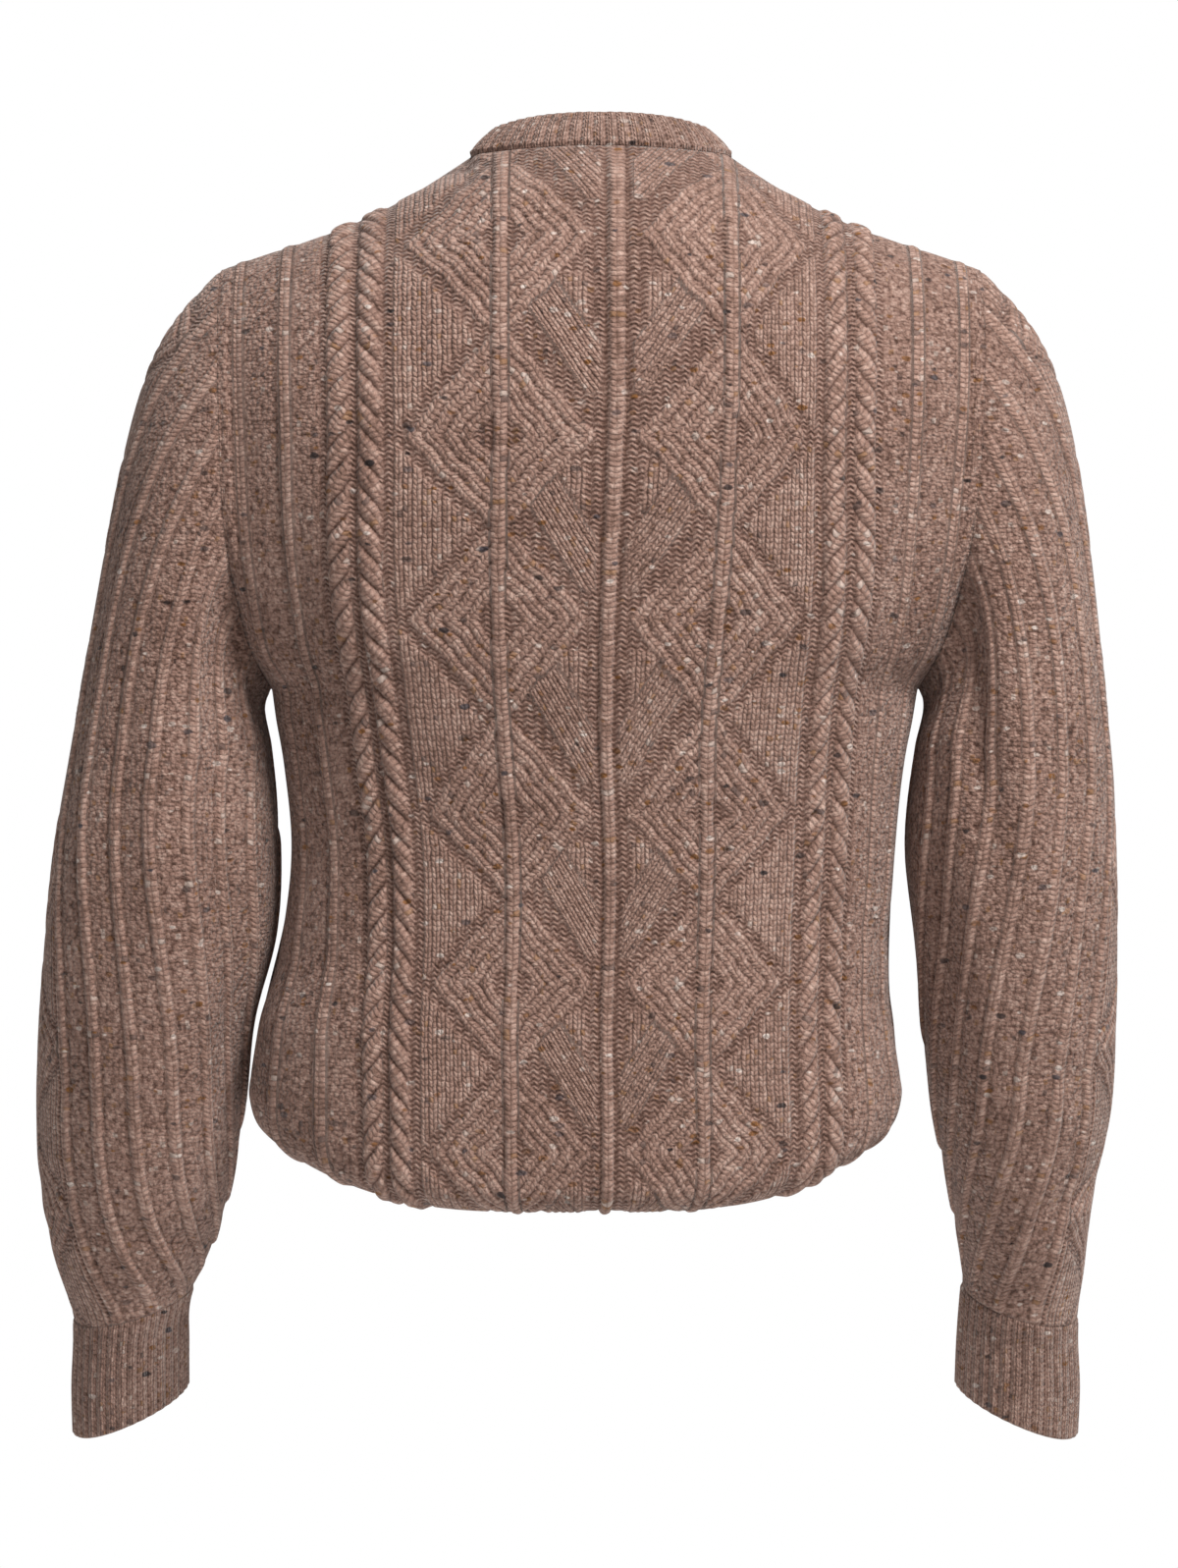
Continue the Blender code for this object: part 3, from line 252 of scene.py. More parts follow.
def section_arc(height):
    """Tables of distance along the section from the centre, and of the width reached there."""
    turn = np.linspace(0.0, np.pi / 2, 361)
    x = section_width(height) * np.sin(turn) ** (2 / ROUNDING)
    y = float(body("back_depth", height)) * np.cos(turn) ** (2 / ROUNDING)
    return run_along(np.stack([x, y], axis=1)), x


def column_across(height):
    """How far from the section's middle each stitch column lies at a height at or below chest."""
    arc, x = section_arc(height)
    edge = section_width(height) if height <= ARMPIT else float(armhole_edge(height)[0])
    reach = float(np.interp(edge, x, arc))
    gauge, twist = float(body("gauge", height)), float(body("twist", height))
    into_armhole = float(ease((height - ARMPIT) / ARMHOLE_EASE))
    across = []
    for stitch in STITCH:
        sign, a = (-1.0 if stitch < 0 else 1.0), abs(stitch)
        if a <= EVEN_ZONE:
            place = twist + sign * gauge * a
        else:
            cut = a
            if a > KEPT_AT_ARMHOLE:
                share = (a - KEPT_AT_ARMHOLE) / (HALF_PANEL - KEPT_AT_ARMHOLE)
                cut = KEPT_AT_ARMHOLE + share * (ARMHOLE_EDGE - KEPT_AT_ARMHOLE)
            on_body = (a - EVEN_ZONE) / (HALF_PANEL - EVEN_ZONE)
            at_armhole = (cut - EVEN_ZONE) / (ARMHOLE_EDGE - EVEN_ZONE)
            u = on_body + into_armhole * (at_armhole - on_body)
            even_end = twist + sign * gauge * EVEN_ZONE
            place = even_end + u * (sign * reach - even_end)
        across.append(np.sign(place) * np.interp(abs(place), arc, x))
    return np.array(across)


ACROSS_AT_CHEST = column_across(CHEST)
NECK_HALF = float(np.interp(NECK_COLUMN, STITCH, ACROSS_AT_CHEST)
                  * armhole_edge(0.0)[0] / armhole_edge(CHEST)[0])
print("neck seam half width:", round(NECK_HALF, 4), "m")

# %% [markdown]
# ## Shoulders and neckline
#
# Above the chest each stitch column climbs, rounds over the shoulder blade and ends at the
# shoulder seam. Inside the neck it ends earlier: behind, where it meets an oval seen from above,
# and in front, where it meets an oval seen from the front, the usual lower crew neckline.

# %% Shoulders and neckline
def crown_line(x):
    """Height of the top of the shoulders above each place across."""
    mirrored = [(a, h) for h, a in SHOULDER_LINE] + [(-a, h) for h, a in SHOULDER_LINE[1:]]
    return smooth(("height", "value"), mirrored, "value", x)


PANEL_SIDES = {"back": (1, "back_depth"), "front": (-1, "front_depth")}


def depth_above_chest(side, x, height):
    """Y of a panel above the chest, where it rounds over towards the shoulder seam."""
    sign, name = PANEL_SIDES[side]
    full = sign * body(name, height) * oval(x / section_width(CHEST))
    fall = (crown_line(x) - height) / (CROWN_AT_CENTRE - CROWN_SLOPE * np.abs(x))
    power = 2.0 + 0.0 * x
    if side == "front":
        power = CHEST_ROUNDING + (2.0 - CHEST_ROUNDING) * np.minimum(1.0, (x / CHEST_WIDTH) ** 2)
    round_over = oval(1 - np.clip(fall, 0.0, 1.0), power)
    return SHOULDER_SEAM_Y + (full - SHOULDER_SEAM_Y) * round_over


def top_column(side, j):
    """Points of one stitch column from its top edge down to the chest, and their lengths."""
    width_at_chest = float(armhole_edge(CHEST)[0])
    x_chest = ACROSS_AT_CHEST[j]
    top = crown_line(x_chest * 1.01)
    for _ in range(4):
        x_top = x_chest * float(armhole_edge(top)[0]) / width_at_chest
        top = float(crown_line(x_top))
    height = CHEST + (top - CHEST) * np.sin(np.linspace(0.0, np.pi / 2, 500))
    x = x_chest * armhole_edge(height)[0] / width_at_chest
    y = depth_above_chest(side, x, height)
    if abs(STITCH[j]) < NECK_COLUMN - 1e-6:
        power = NECK_BACK_OVAL if side == "back" else NECK_FRONT_OVAL
        bow = oval(min(1.0, abs(x_top) / NECK_HALF), power)
        if side == "back":
            below_seam = y - SHOULDER_SEAM_Y - NECK_BACK * bow
        else:
            below_seam = -NECK_FRONT_DROP * bow - height
        last = int(np.nonzero(below_seam >= 0)[0].max())
        t = below_seam[last] / (below_seam[last] - below_seam[last + 1])
        cut = [a[last] + t * (a[last + 1] - a[last]) for a in (x, y, height)]
        x, y, height = (np.append(a[:last + 1], c) for a, c in zip((x, y, height), cut))
    path = np.stack([x, y, height], axis=1)[::-1]
    return path, run_along(path)


# %% [markdown]
# ## Large folds
#
# Under the arms the spare cloth of a set-in sleeve falls into slanted troughs with a soft ridge
# beside each. A fold is one row of a table: where its middle lies, how long and wide it is, its
# turn and its depth. A bell curve along and across it pushes the cloth in or out.

# %% Large folds
# piece, its middle across and along, length, width, turn in degrees, depth
FOLDS = (
    ("back", 0.172, -0.268, 0.075, 0.020, 12.0, -0.0036),
    ("back", 0.138, -0.258, 0.085, 0.022, 10.0, 0.0022),
    ("back", -0.170, -0.262, 0.085, 0.020, -14.0, -0.0042),
    ("back", -0.136, -0.255, 0.090, 0.022, -12.0, 0.0026),
    ("front", 0.166, -0.265, 0.080, 0.021, 20.0, -0.0040),
    ("front", 0.132, -0.260, 0.090, 0.022, 18.0, 0.0026),
    ("front", -0.166, -0.270, 0.078, 0.021, -22.0, -0.0037),
    ("front", -0.132, -0.265, 0.085, 0.022, -19.0, 0.0024),
)
FOLD_AT_EDGE = 0.3       # share of a fold that reaches the stitches next to a seam


def fold_push(folds, piece, across, along):
    """Push of the folds of one piece, out or in; a fold fades evenly to all sides."""
    total = np.zeros_like(across)
    for name, middle, place, length, width, turn, depth in folds:
        if name == piece:
            angle = np.radians(turn)
            dx, dy = across - middle, along - place
            total += depth * np.exp(-((dy * np.cos(angle) + dx * np.sin(angle)) / length) ** 2
                                    - ((dx * np.cos(angle) - dy * np.sin(angle)) / width) ** 2)
    return total


# %% [markdown]
# ## The net of a panel
#
# A panel starts as a coarse net: 51 stitch columns by 39 rows, from the neck and shoulder down
# to the hem, where the cloth turns under and runs up inside. Each knot also keeps two numbers:
# the phase of the diamond chain, whole at a diamond's centre, and the course of knitting.

# %% Net of a panel
def grid_normals(grid, sign):
    """Unit normals of a grid of points, pointing out of the garment."""
    down = np.gradient(grid, axis=0)
    along = np.gradient(grid, axis=1)
    return unit(np.cross(along, down) * sign)


def diamond_phase(height):
    """Place along the chain of diamonds: whole at a diamond's centre, 1 at the chest."""
    below = DIAMOND_CENTRES + (DIAMOND_CENTRES[-1] - LAST_DIAMOND,)
    return np.interp(-height, [-h for h in below], range(1, len(below) + 1))


def top_rows(side, tops):
    """Rows from the top edge to just above the chest, and how far each point is up from it."""
    # by the neck the rows keep to the diamonds, or to the column where the seam turns
    near_neck = TOP_DIAMOND_LENGTH / ROWS_PER_DIAMOND
    if side == "front":
        near_neck = tops[int(np.argmin(abs(STITCH - NECK_TURN)))][1][-1] / TOP_ROWS
    rows, ups = [], []
    for i in range(TOP_ROWS):
        row, up_row = [], []
        for stitch, (path, length) in zip(STITCH, tops):
            total = length[-1]
            step = total / TOP_ROWS
            even = min(step, near_neck)
            step = even + (step - even) * ease((abs(stitch) - NECK_COLUMN) / SHOULDER_EASE)
            up = (TOP_ROWS - i) * step if i else total
            row.append([np.interp(total - up, length, path[:, a]) for a in range(3)])
            up_row.append(up)
        rows.append(row)
        ups.append(up_row)
    return np.array(rows), np.array(ups)


def level_row(side, heights):
    """One row of a panel from the chest down, from the height of each column."""
    sign, name = PANEL_SIDES[side]
    row = []
    for j, height in enumerate(heights):
        x = column_across(height)[j] if height < CHEST else ACROSS_AT_CHEST[j]
        depth = sign * body(name, height) * oval(min(1.0, abs(x / section_width(height))))
        row.append([body("lean", height) + x, depth, height])
    return np.array(row, dtype=float)


def row_heights():
    """Heights of the rows from the chest to where the turn starts, and the turn's radius."""
    heights = [CHEST]
    for high, low in zip(DIAMOND_CENTRES[:3], DIAMOND_CENTRES[1:4]):
        heights += [high + (low - high) * k / ROWS_PER_DIAMOND
                    for k in range(1, ROWS_PER_DIAMOND + 1)]
    low_start = DIAMOND_CENTRES[3]
    share = column_across(low_start) / section_width(low_start)
    roll = ROLL_AT_CENTRE + (ROLL_AT_SIDE - ROLL_AT_CENTRE) * share ** 2
    turn_start = HEM_CENTRE + HEM_SIDE_LIFT * abs(share) ** HEM_CURVE + roll
    level = [np.full(len(STITCH), height) for height in heights]
    low = [low_start + (turn_start - low_start) * k / ROWS_PER_DIAMOND
           for k in range(1, ROWS_PER_DIAMOND + 1)]
    return level + low, roll


def turned_under(side, start, roll):
    """Rows of the half turn that carries the cloth up inside, with their phases."""
    height = start[:, 2]
    lean, depth = body("lean", height), body(PANEL_SIDES[side][1], height)
    width = np.array([section_width(h) for h in height])
    rows, phases = [], []
    for k in range(1, ROLL_ROWS + 1):
        angle = np.pi * k / ROLL_ROWS
        inset = roll * (1 - np.cos(angle))
        x = lean + (start[:, 0] - lean) * (1 - inset / width)
        y = start[:, 1] * (1 - inset / depth)
        rows.append(np.stack([x, y, height - roll * np.sin(angle)], axis=1))
        phases.append(diamond_phase(height) + roll * angle / LAST_DIAMOND)
    return rows, phases


# %% Whole net of a panel
def torso_net(side):
    """Base points of a panel, rows from top to hem, with phase and course at each point."""
    top, ups = top_rows(side, [top_column(side, j) for j in range(len(STITCH))])
    levels, roll = row_heights()
    low = [level_row(side, heights) for heights in levels]
    under, under_phases = turned_under(side, low[-1], roll)
    phases = [*(1 - ups / TOP_DIAMOND_LENGTH), *map(diamond_phase, levels), *under_phases]
    grid = np.array([*top, *low, *under])
    normal = grid_normals(grid, PANEL_SIDES[side][0])
    share = np.ones(grid.shape[:2])
    share[:, (1, -2)] = FOLD_AT_EDGE
    share[(0, -1), :] = share[:, (0, -1)] = 0.0
    push = share * fold_push(FOLDS, side, grid[..., 0], grid[..., 2])
    grid = grid + normal * push[..., None]

    down = np.concatenate([-ups, run_along(grid[TOP_ROWS:])])
    return grid, np.array(phases), down / COURSE


nets = {side: torso_net(side) for side in ("back", "front")}
print("net:", nets["back"][0].shape[:2], "courses at the centre:",
      [round(float(c)) for c in nets["back"][2][[0, -1], 25]])

# %% [markdown]
# ## Seams between the pieces
#
# Two cloths that are sewn together share the line of their seam. Over a ridge their edges meet
# face to face. In the valley under an arm each wall keeps more of its own direction, so that
# the two don't run into each other. The sleeve's seam is the armhole's edge, all the way round.

# %% Shared seams of the panels
def seam_directions(first, second, second_leaves):
    """Wall directions of both pieces at a seam, from their normals."""
    valley = np.sum(first * second_leaves, axis=-1, keepdims=True)
    share = np.clip(1 - VALLEY_PARTING * valley, 0.0, 1.0)
    return unit(first + second * share), unit(second + first * share)


def across_seam(leaves, normal):
    """The part of a direction that is square to the wall direction at a seam."""
    return unit(leaves - normal * np.sum(leaves * normal, axis=-1, keepdims=True))


back, back_phase, back_course = nets["back"]
front, front_phase, front_course = nets["front"]
LAST = back.shape[1] - 1
EDGE_LIFTS = (0.0075, 0.0045, 0.0012)    # the armhole edge and the two columns beside it
CREASE_AT, CREASE_WIDE, CREASE_DEEP = 0.86, 0.09, 1.1    # on the way down to the armpit
# the armhole edges lie a little further out, so that the sleeves run on from the panels
down_armhole = np.arange(ARMPIT_ROW + 1) / ARMPIT_ROW
armhole_share = np.sin(np.pi * down_armhole) ** 1.2
# and near the armpits the cloth is drawn in to a crease
armhole_share -= CREASE_DEEP * np.exp(-((down_armhole - CREASE_AT) / CREASE_WIDE) ** 2)
armhole_share[-1] = 0.0
for place, lift in enumerate(EDGE_LIFTS):
    for column in (place, LAST - place):
        back[:ARMPIT_ROW + 1, column, 1] += lift * armhole_share
        front[:ARMPIT_ROW + 1, column, 1] -= lift * armhole_share
back_normal = grid_normals(back, 1)
front_normal = grid_normals(front, -1)
shared = [(0, j) for j in range(LAST + 1) if abs(STITCH[j]) > NECK_TURN]
shared += [(i, j) for i in range(ARMPIT_ROW, back.shape[0]) for j in (0, LAST)]
for at in shared:
    back[at] = front[at] = (back[at] + front[at]) / 2
    back_normal[at] = front_normal[at] = unit(back_normal[at] + front_normal[at])
print("shared seam points:", len(shared))

# %% [markdown]
# ## From net to fine cloth
#
# The net is too coarse to carry single ridges, so a smooth surface is drawn through it and
# sampled every millimetre or two. At the neck corner and at the armpit the edge of a panel has
# a real corner: there the curve is split in two, with its own slope on each side.

# %% Smooth surface through a net
def through(values, knots, at, corners=(), corner_weight=1.0):
    """Values on a smooth curve through knots, along the first axis, with optional corners."""
    values, knots, at = (np.asarray(a, dtype=float) for a in (values, knots, at))
    slope = np.gradient(values, knots, axis=0)
    leaving, arriving = slope.copy(), slope.copy()
    ends = [0, *corners, len(knots) - 1]
    for a, b in zip(ends, ends[1:]):
        own = np.gradient(values[a:b + 1], knots[a:b + 1], axis=0, edge_order=2)
        leaving[a] += (own[0] - leaving[a]) * corner_weight
        arriving[b] += (own[-1] - arriving[b]) * corner_weight
    k = np.clip(np.searchsorted(knots, at, side="right") - 1, 0, len(knots) - 2)
    step = (knots[k + 1] - knots[k]).reshape((-1,) + (1,) * (values.ndim - 1))
    t = ((at - knots[k]) / (knots[k + 1] - knots[k])).reshape(step.shape)
    return cubic(values[k], values[k + 1], step * leaving[k], step * arriving[k + 1], t)


def even_places(stops):
    """Places along a line whose spacing changes at given stops: ((from, to, spacing), ...)."""
    parts = [np.linspace(a, b, max(1, round((b - a) / step)) + 1)[:-1] for a, b, step in stops]
    return np.concatenate(parts + [[stops[-1][1]]])


def fading(count, rows):
    """Shares for the rows of a grid: 1 at the first, fading to 0 over some rows."""
    return np.clip(1 - np.arange(count) / rows, 0.0, 1.0)[:, None, None]


NECK_CORNERS = [int(np.argmin(abs(STITCH - s))) for s in (-NECK_COLUMN, NECK_COLUMN)]
CORNER_ROWS = 3          # the neck corner softens over these rows of the net
EDGE_COLUMNS = 0.21      # the armpit's corner reaches in from the side seam to here


def fine_surface(grid, rows, stitches):
    """The net's values at every fine row and stitch place: result[row, stitch, value]."""
    across = through(grid.transpose(1, 0, 2), STITCH, stitches, NECK_CORNERS,
                     fading(len(grid), CORNER_ROWS)[:, 0])
    edge = ease((abs(stitches) - EDGE_COLUMNS) / (HALF_PANEL - EDGE_COLUMNS))[:, None]
    return through(across.transpose(1, 0, 2), np.arange(len(grid)), rows, [ARMPIT_ROW], edge)


half_places = even_places(((0.0, 0.158, 0.0014), (0.158, HALF_PANEL, 0.0026)))
FINE_STITCHES = np.concatenate([-half_places[:0:-1], half_places])
ROLL_START = len(back) - 1 - ROLL_ROWS
FINE_ROWS = even_places(((0, ROLL_START, 1 / 9), (ROLL_START, ROLL_START + 2, 1 / 7),
                         (ROLL_START + 2, len(back) - 1, 1 / 2)))
print("fine cloth:", len(FINE_ROWS), "rows of", len(FINE_STITCHES), "points")

# %% [markdown]
# ## Raised stitches of a panel
#
# Ribs, diamond ridges and ropes stand 1 to 4 mm proud of the purl ground. Each is a rounded
# cord, so one helper gives its height from the distance to its middle line. The diamonds are
# level lines of a single number, `ring`: 0 at a diamond's centre and 1 on its outline.
# The same step also notes, for the wool material, which kind of stitch is knitted where.

# %% Raised stitches: cords and rings
DIAMOND_HALF = 3 * LATTICE           # from the centre of a diamond to its side corner
RIDGES = (0.375, 0.575, 0.785, 1.0)  # nested ridges of a diamond, its outline at 1
RIDGE_HALF = 0.090                   # half width of a ridge on the same scale
PLAIN_END = 1.22                     # the purl strip outside the outline ends here
RIB_RISE = 0.0023
RIB_WIDE = 0.0074                    # width of a single rib, one stitch and its slopes
RIB_REACH = 0.0008                   # its stitches reach this far past its foot
RIDGE_RISE = 0.0013
GROOVE = (0.0045, 0.0009)            # groove beside a rib, sunk a little and darkened with painted shade: its distance and half width
GROOVE_DEEP = 0.0006
MOSS_RISE = 0.0006
BLEND = 0.001                        # width over which one kind of stitch turns to another
EDGE_CLEAR = 0.004                   # the raised stitches flatten out this far from a seam


def cord(distance, half):
    """Height from 0 to 1 of a rounded cord, at a distance from its middle line."""
    return np.clip(1 - (distance / half) ** 2, 0.0, 1.0) ** 0.6


def nearest_line(value, lines):
    """Signed distance to the nearest of several parallel lines."""
    lines = np.array(lines)
    apart = value[..., None] - lines
    return np.take_along_axis(apart, np.argmin(np.abs(apart), axis=-1)[..., None], -1)[..., 0]


def nested_diamonds(across, phase, length):
    """Ridges of a chain of nested diamonds: height, stitch direction and ring."""
    number = np.round(phase)
    near = phase - number
    ring = np.abs(across) / DIAMOND_HALF + 2 * np.abs(near)
    steep = np.hypot(1 / DIAMOND_HALF, 2 / length)
    along = (np.abs(across) * (2 / length) - np.abs(near) * length / DIAMOND_HALF) / steep
    # hand knitting is never straight: two small waves, out of step from diamond to diamond
    ring = ring + 0.016 * np.sin(along / 0.0034 + 9 * number) + 0.014 * np.sin(
        along / 0.0081 + 2.6 * number + 1.5 * np.sign(across))
    offset = nearest_line(ring, RIDGES)
    # one stitch to a ridge, counted on through the grooves so that no stitch is cut
    wale = np.interp(ring, (0.0,) + RIDGES + (1.2,), (-1.4, 0.5, 1.5, 2.5, 3.5, 4.5))
    return cord(offset, RIDGE_HALF), np.stack([wale, along / COURSE], axis=-1), ring


# %% [markdown]
# Between the two chains the knitter sets small nested V lines. They point down to the centre
# rib and stand in a field of upright stitches.

# %% Nested V lines
V_STEP = 0.0043                      # from one V line to the next
V_LINES = (-2 * V_STEP, -V_STEP, 0.0, V_STEP, 2 * V_STEP)
V_HALF = 0.0021
V_RISE = 0.0012
V_WAY = (0.849, 0.530)               # slope of the lines, as a cosine and a sine
V_MIDDLE = (0.021, 0.004)            # a place on the middle line, across and below
V_FIELD = 0.0112                     # the lines end this far aside of the middle one


def chevrons(across, below):
    """Nested V lines between the chains: height, stitch direction and distance aside."""
    aside = V_WAY[0] * (across - V_MIDDLE[0]) + V_WAY[1] * (below - V_MIDDLE[1])
    along = V_WAY[0] * below - V_WAY[1] * across
    directions = np.stack([aside / V_STEP + 0.5, along / COURSE], axis=-1)
    return cord(nearest_line(aside, V_LINES), V_HALF), directions, aside


# %% [markdown]
# A rope cable is two strands that cross every 16 mm, always in the same direction. Only the
# strand in front shows, so a rope is a column of rounded lobes that slant from side to side.

# %% Ropes
CABLE_RISE = 0.0037
CABLE_LENGTH = 0.0162                # from one crossing of a rope to the next
ROPE_HALF = 0.0070
ROPE_SLANT = 1.45                    # lobes that a lobe passes on its way across the rope
LOBE_BULGE = 0.20                    # how far a lobe stands out sideways past the crossings
CROSSING = 0.16                      # height left between two lobes, against a lobe's crown


def rope(across, course, way):
    """Height, stitch direction and painted light of a two-strand rope."""
    aside = across / ROPE_HALF
    turn = np.arcsin(np.clip(aside, -1.0, 1.0) * 0.97) / np.pi
    place = course * COURSE / CABLE_LENGTH + way * ROPE_SLANT * turn
    lobe = 2 * (place - np.floor(place)) - 1
    lobe = np.sqrt(np.clip(1 - lobe ** 2, 0.0, 1.0))
    half = 1 - LOBE_BULGE + LOBE_BULGE * lobe
    edge = np.clip(1 - np.abs(aside / half) ** 2.2, 0.0, 1.0) ** 0.5
    height = edge * (CROSSING + (1 - CROSSING) * lobe)
    directions = np.stack([place, course * 0.8 - way * 1.2 * aside], axis=-1)
    # painted light on each lobe's crown, painted shade where it dips under the other strand
    return height, directions, ease((height - 0.34) / 0.46)


# %% [markdown]
# The wearer's shoulders pull the pattern of the back a little to the right, most of it at the
# top. The pull is a table from the place on the net to the shift of the pattern there.

# %% Pull of the pattern
PULL = ((-0.1560, 0.0), (-0.1305, 0.0005), (-0.1117, 0.0052), (-0.0735, 0.0125),
        (-0.0257, 0.0118), (-0.0086, 0.0086), (0.0086, 0.0056), (0.0559, 0.0041),
        (0.1066, 0.0008), (0.1560, 0.0))
PULL_FADES = ((-0.34, 0.0), (-0.27, 0.38), (-0.20, 0.85), (-0.15, 1.0))


def pulled(stitch, height):
    """The place in the stitch plan that shows at a place of the back."""
    shift = np.interp(stitch, *zip(*PULL)) * np.interp(height, *zip(*PULL_FADES))
    return stitch + shift


# %% [markdown]
# A panel then takes the highest of its raised forms at every point. Four numbers go with each
# point for the material: how much it is purl, how much it is moss stitch, how much its
# stitches lean, and a level of painted light and shade, lighter on the raised forms and
# darker in the grooves beside them.

# %% Raised stitches of a panel
class Relief:
    """The highest raised form at every point, and what the wool needs to know about it."""

    def __init__(self, across, course):
        self.rise = np.zeros_like(across)
        self.knit = np.zeros_like(across)
        self.lean = np.zeros_like(across)
        # level: painted light and shade for the wool's colour, lighter on raised forms, darker in
        # grooves
        self.level = np.zeros_like(across)
        self.lean_uv = np.stack([across / WALE, course], axis=-1)

    def add(self, height, tall, directions=None, knit=None, level=None, reach=False):
        """Adds a form; its stitch directions also hold in the grooves that it reaches."""
        higher = (height * tall > self.rise) & (height > 0)
        self.rise[higher] = (height * tall)[higher]
        self.knit = np.maximum(self.knit, np.clip(height * 2.4, 0, 1) if knit is None else knit)
        # by default a form is painted lighter the higher it stands
        if level is None:
            level = np.clip(height * tall / RIDGE_RISE, 0.0, 1.0)
        self.level[higher] = level[higher]
        covered = higher | reach
        self.lean[covered] = 0.0 if directions is None else 1.0
        if directions is not None:
            self.lean_uv[covered] = directions[covered]

    def add_rib(self, distance, course):
        # a rib is painted lighter towards its crown, and its groove darker with painted shade
        height = cord(distance, RIB_WIDE / 2)
        self.add(height, RIB_RISE, np.stack([0.8 * distance / RIB_WIDE + 0.5, course], axis=-1),
                 level=0.88 * height, reach=np.abs(distance) < RIB_WIDE / 2 + RIB_REACH)
        groove = np.exp(-((np.abs(distance) - GROOVE[0]) / GROOVE[1]) ** 2)
        self.rise = self.rise - GROOVE_DEEP * groove * (self.rise <= 0)
        # painted shade: the groove beside the rib is darkened in colour too
        self.level = self.level - 0.50 * groove * (height < 0.2)

    def finish(self, moss_place):
        """Rise, leaning stitch places and kinds of stitch, with moss where no form stands."""
        moss = moss_place * (1 - self.knit)
        purl = (1 - self.knit) * (1 - moss)
        # the moss and purl ground gets a low level, so it is painted darker than the raised forms
        level = self.level + 0.36 * moss + 0.30 * purl
        kinds = np.stack([purl, moss, self.lean, np.clip(level, 0.0, 1.0)], axis=-1)
        return self.rise + MOSS_RISE * moss, self.lean_uv, kinds


PANEL_DIAMOND = 0.104                # length of a diamond, for the slope of its ridges
LOW_DIAMOND = 0.1                    # mean length below the chest, for the V lines
STOCKINETTE = (0.0011, 0.1175)       # rise of the smooth triangles, and where they end
UPRIGHT_RISE = 0.0007                # of the field round the V lines
CENTRE_RIB_EDGE = 0.0068             # the V lines start beside the centre rib
V_REACH = 0.036                      # the V lines run this far above and below their middle
MOSS_START = 0.1585                  # beside the outer rope


def panel_stitches(stitch, phase, course):
    """Rise of the raised stitches, the leaning stitch directions and the kinds of stitch."""
    # every level given below is painted light: raised forms are painted lighter than the ground
    a = np.abs(stitch)
    relief = Relief(a, course)
    length = np.where(phase < 1.0, TOP_DIAMOND_LENGTH, LOW_DIAMOND)
    height, directions, ring = nested_diamonds(a - CHAIN, phase, PANEL_DIAMOND)
    inside = (ring < PLAIN_END - 0.05) & (np.abs(a - CHAIN) > RIB_HALF)
    relief.add(height * inside, RIDGE_RISE, directions, reach=inside)
    # stockinette triangles between the diamonds and the ropes, with upright stitches
    triangle_rise, triangle_end = STOCKINETTE
    outside = ease((ring - PLAIN_END - 0.03) / 0.05) * ease((a - CHAIN) / 0.004)
    outside = outside * ease((triangle_end - a) / 0.002)
    relief.add(outside, triangle_rise, knit=outside, level=0.85 * outside)
    # V lines and upright stitches between the two chains
    below = (phase - np.floor(phase) - 0.5) * length
    height, directions, aside = chevrons(a, below)
    field = ease((ring - 1.10) / 0.06) * ease((CHAIN - a) / 0.004)
    field = field * ease((a - CENTRE_RIB_EDGE) / 0.0015)
    field = field * ease((V_REACH - np.abs(below)) / 0.004)
    upright = field * ease((-V_FIELD - aside) / BLEND) * ease((a - 0.012) / 0.003)
    relief.add(upright, UPRIGHT_RISE, knit=upright, level=0.7 * upright)
    relief.add(height * field, V_RISE, directions,
               reach=(field > 0.02) & (np.abs(aside) < V_FIELD))
    for middle in (0.0, CHAIN) + SIDE_RIBS:
        relief.add_rib(a - middle, course)
    for middle, way in zip(CABLES, (1.0, -1.0)):
        # each rope's painted light goes in as its level
        height, directions, light = rope(a - middle, course, way)
        relief.add(height, CABLE_RISE, directions, level=light,
                   reach=np.abs(a - middle) < ROPE_HALF + BLEND)
    return relief.finish(ease((a - MOSS_START) / BLEND))


# %% [markdown]
# ## Building one cloth wall
#
# Every piece is one closed wall. A fine grid becomes the outer side and a coarse grid the plain
# inner side, `bridge_loops` closes the border between them, and the normals are then pointed
# outwards. A tube is one long strip instead: down the outer side, over the end, up the inner
# side, and then its ends and its two long edges are welded.
# Two UV maps hold the stitch places: `knit` for upright stitches, `lean` for slanted ones.

# %% Cloth wall builder
def set_corner_values(mesh, name, values):
    """A UV map from one pair of numbers per point."""
    layer = mesh.uv_layers.new(name=name)
    corner_point = np.zeros(len(mesh.loops), dtype=np.int32)
    mesh.loops.foreach_get("vertex_index", corner_point)
    layer.uv.foreach_set("vector", values[corner_point].astype(np.float32).ravel())


def cloth_grid(points, knit_uv, lean_uv, kinds):
    """A mesh grid whose points are moved to the cloth's places, with its stitch data."""
    rows, columns = points.shape[:2]
    made = bmesh.new()
    bmesh.ops.create_grid(made, x_segments=columns - 1, y_segments=rows - 1, size=1.0)
    mesh = bpy.data.meshes.new("grid")
    made.to_mesh(mesh)
    made.free()
    mesh.vertices.foreach_set("co", points.astype(np.float32).ravel())
    set_corner_values(mesh, "knit", knit_uv.reshape(-1, 2))
    set_corner_values(mesh, "lean", lean_uv.reshape(-1, 2))
    colours = mesh.attributes.new("stitch", "FLOAT_COLOR", "POINT")
    colours.data.foreach_set("color", kinds.astype(np.float32).ravel())
    return mesh


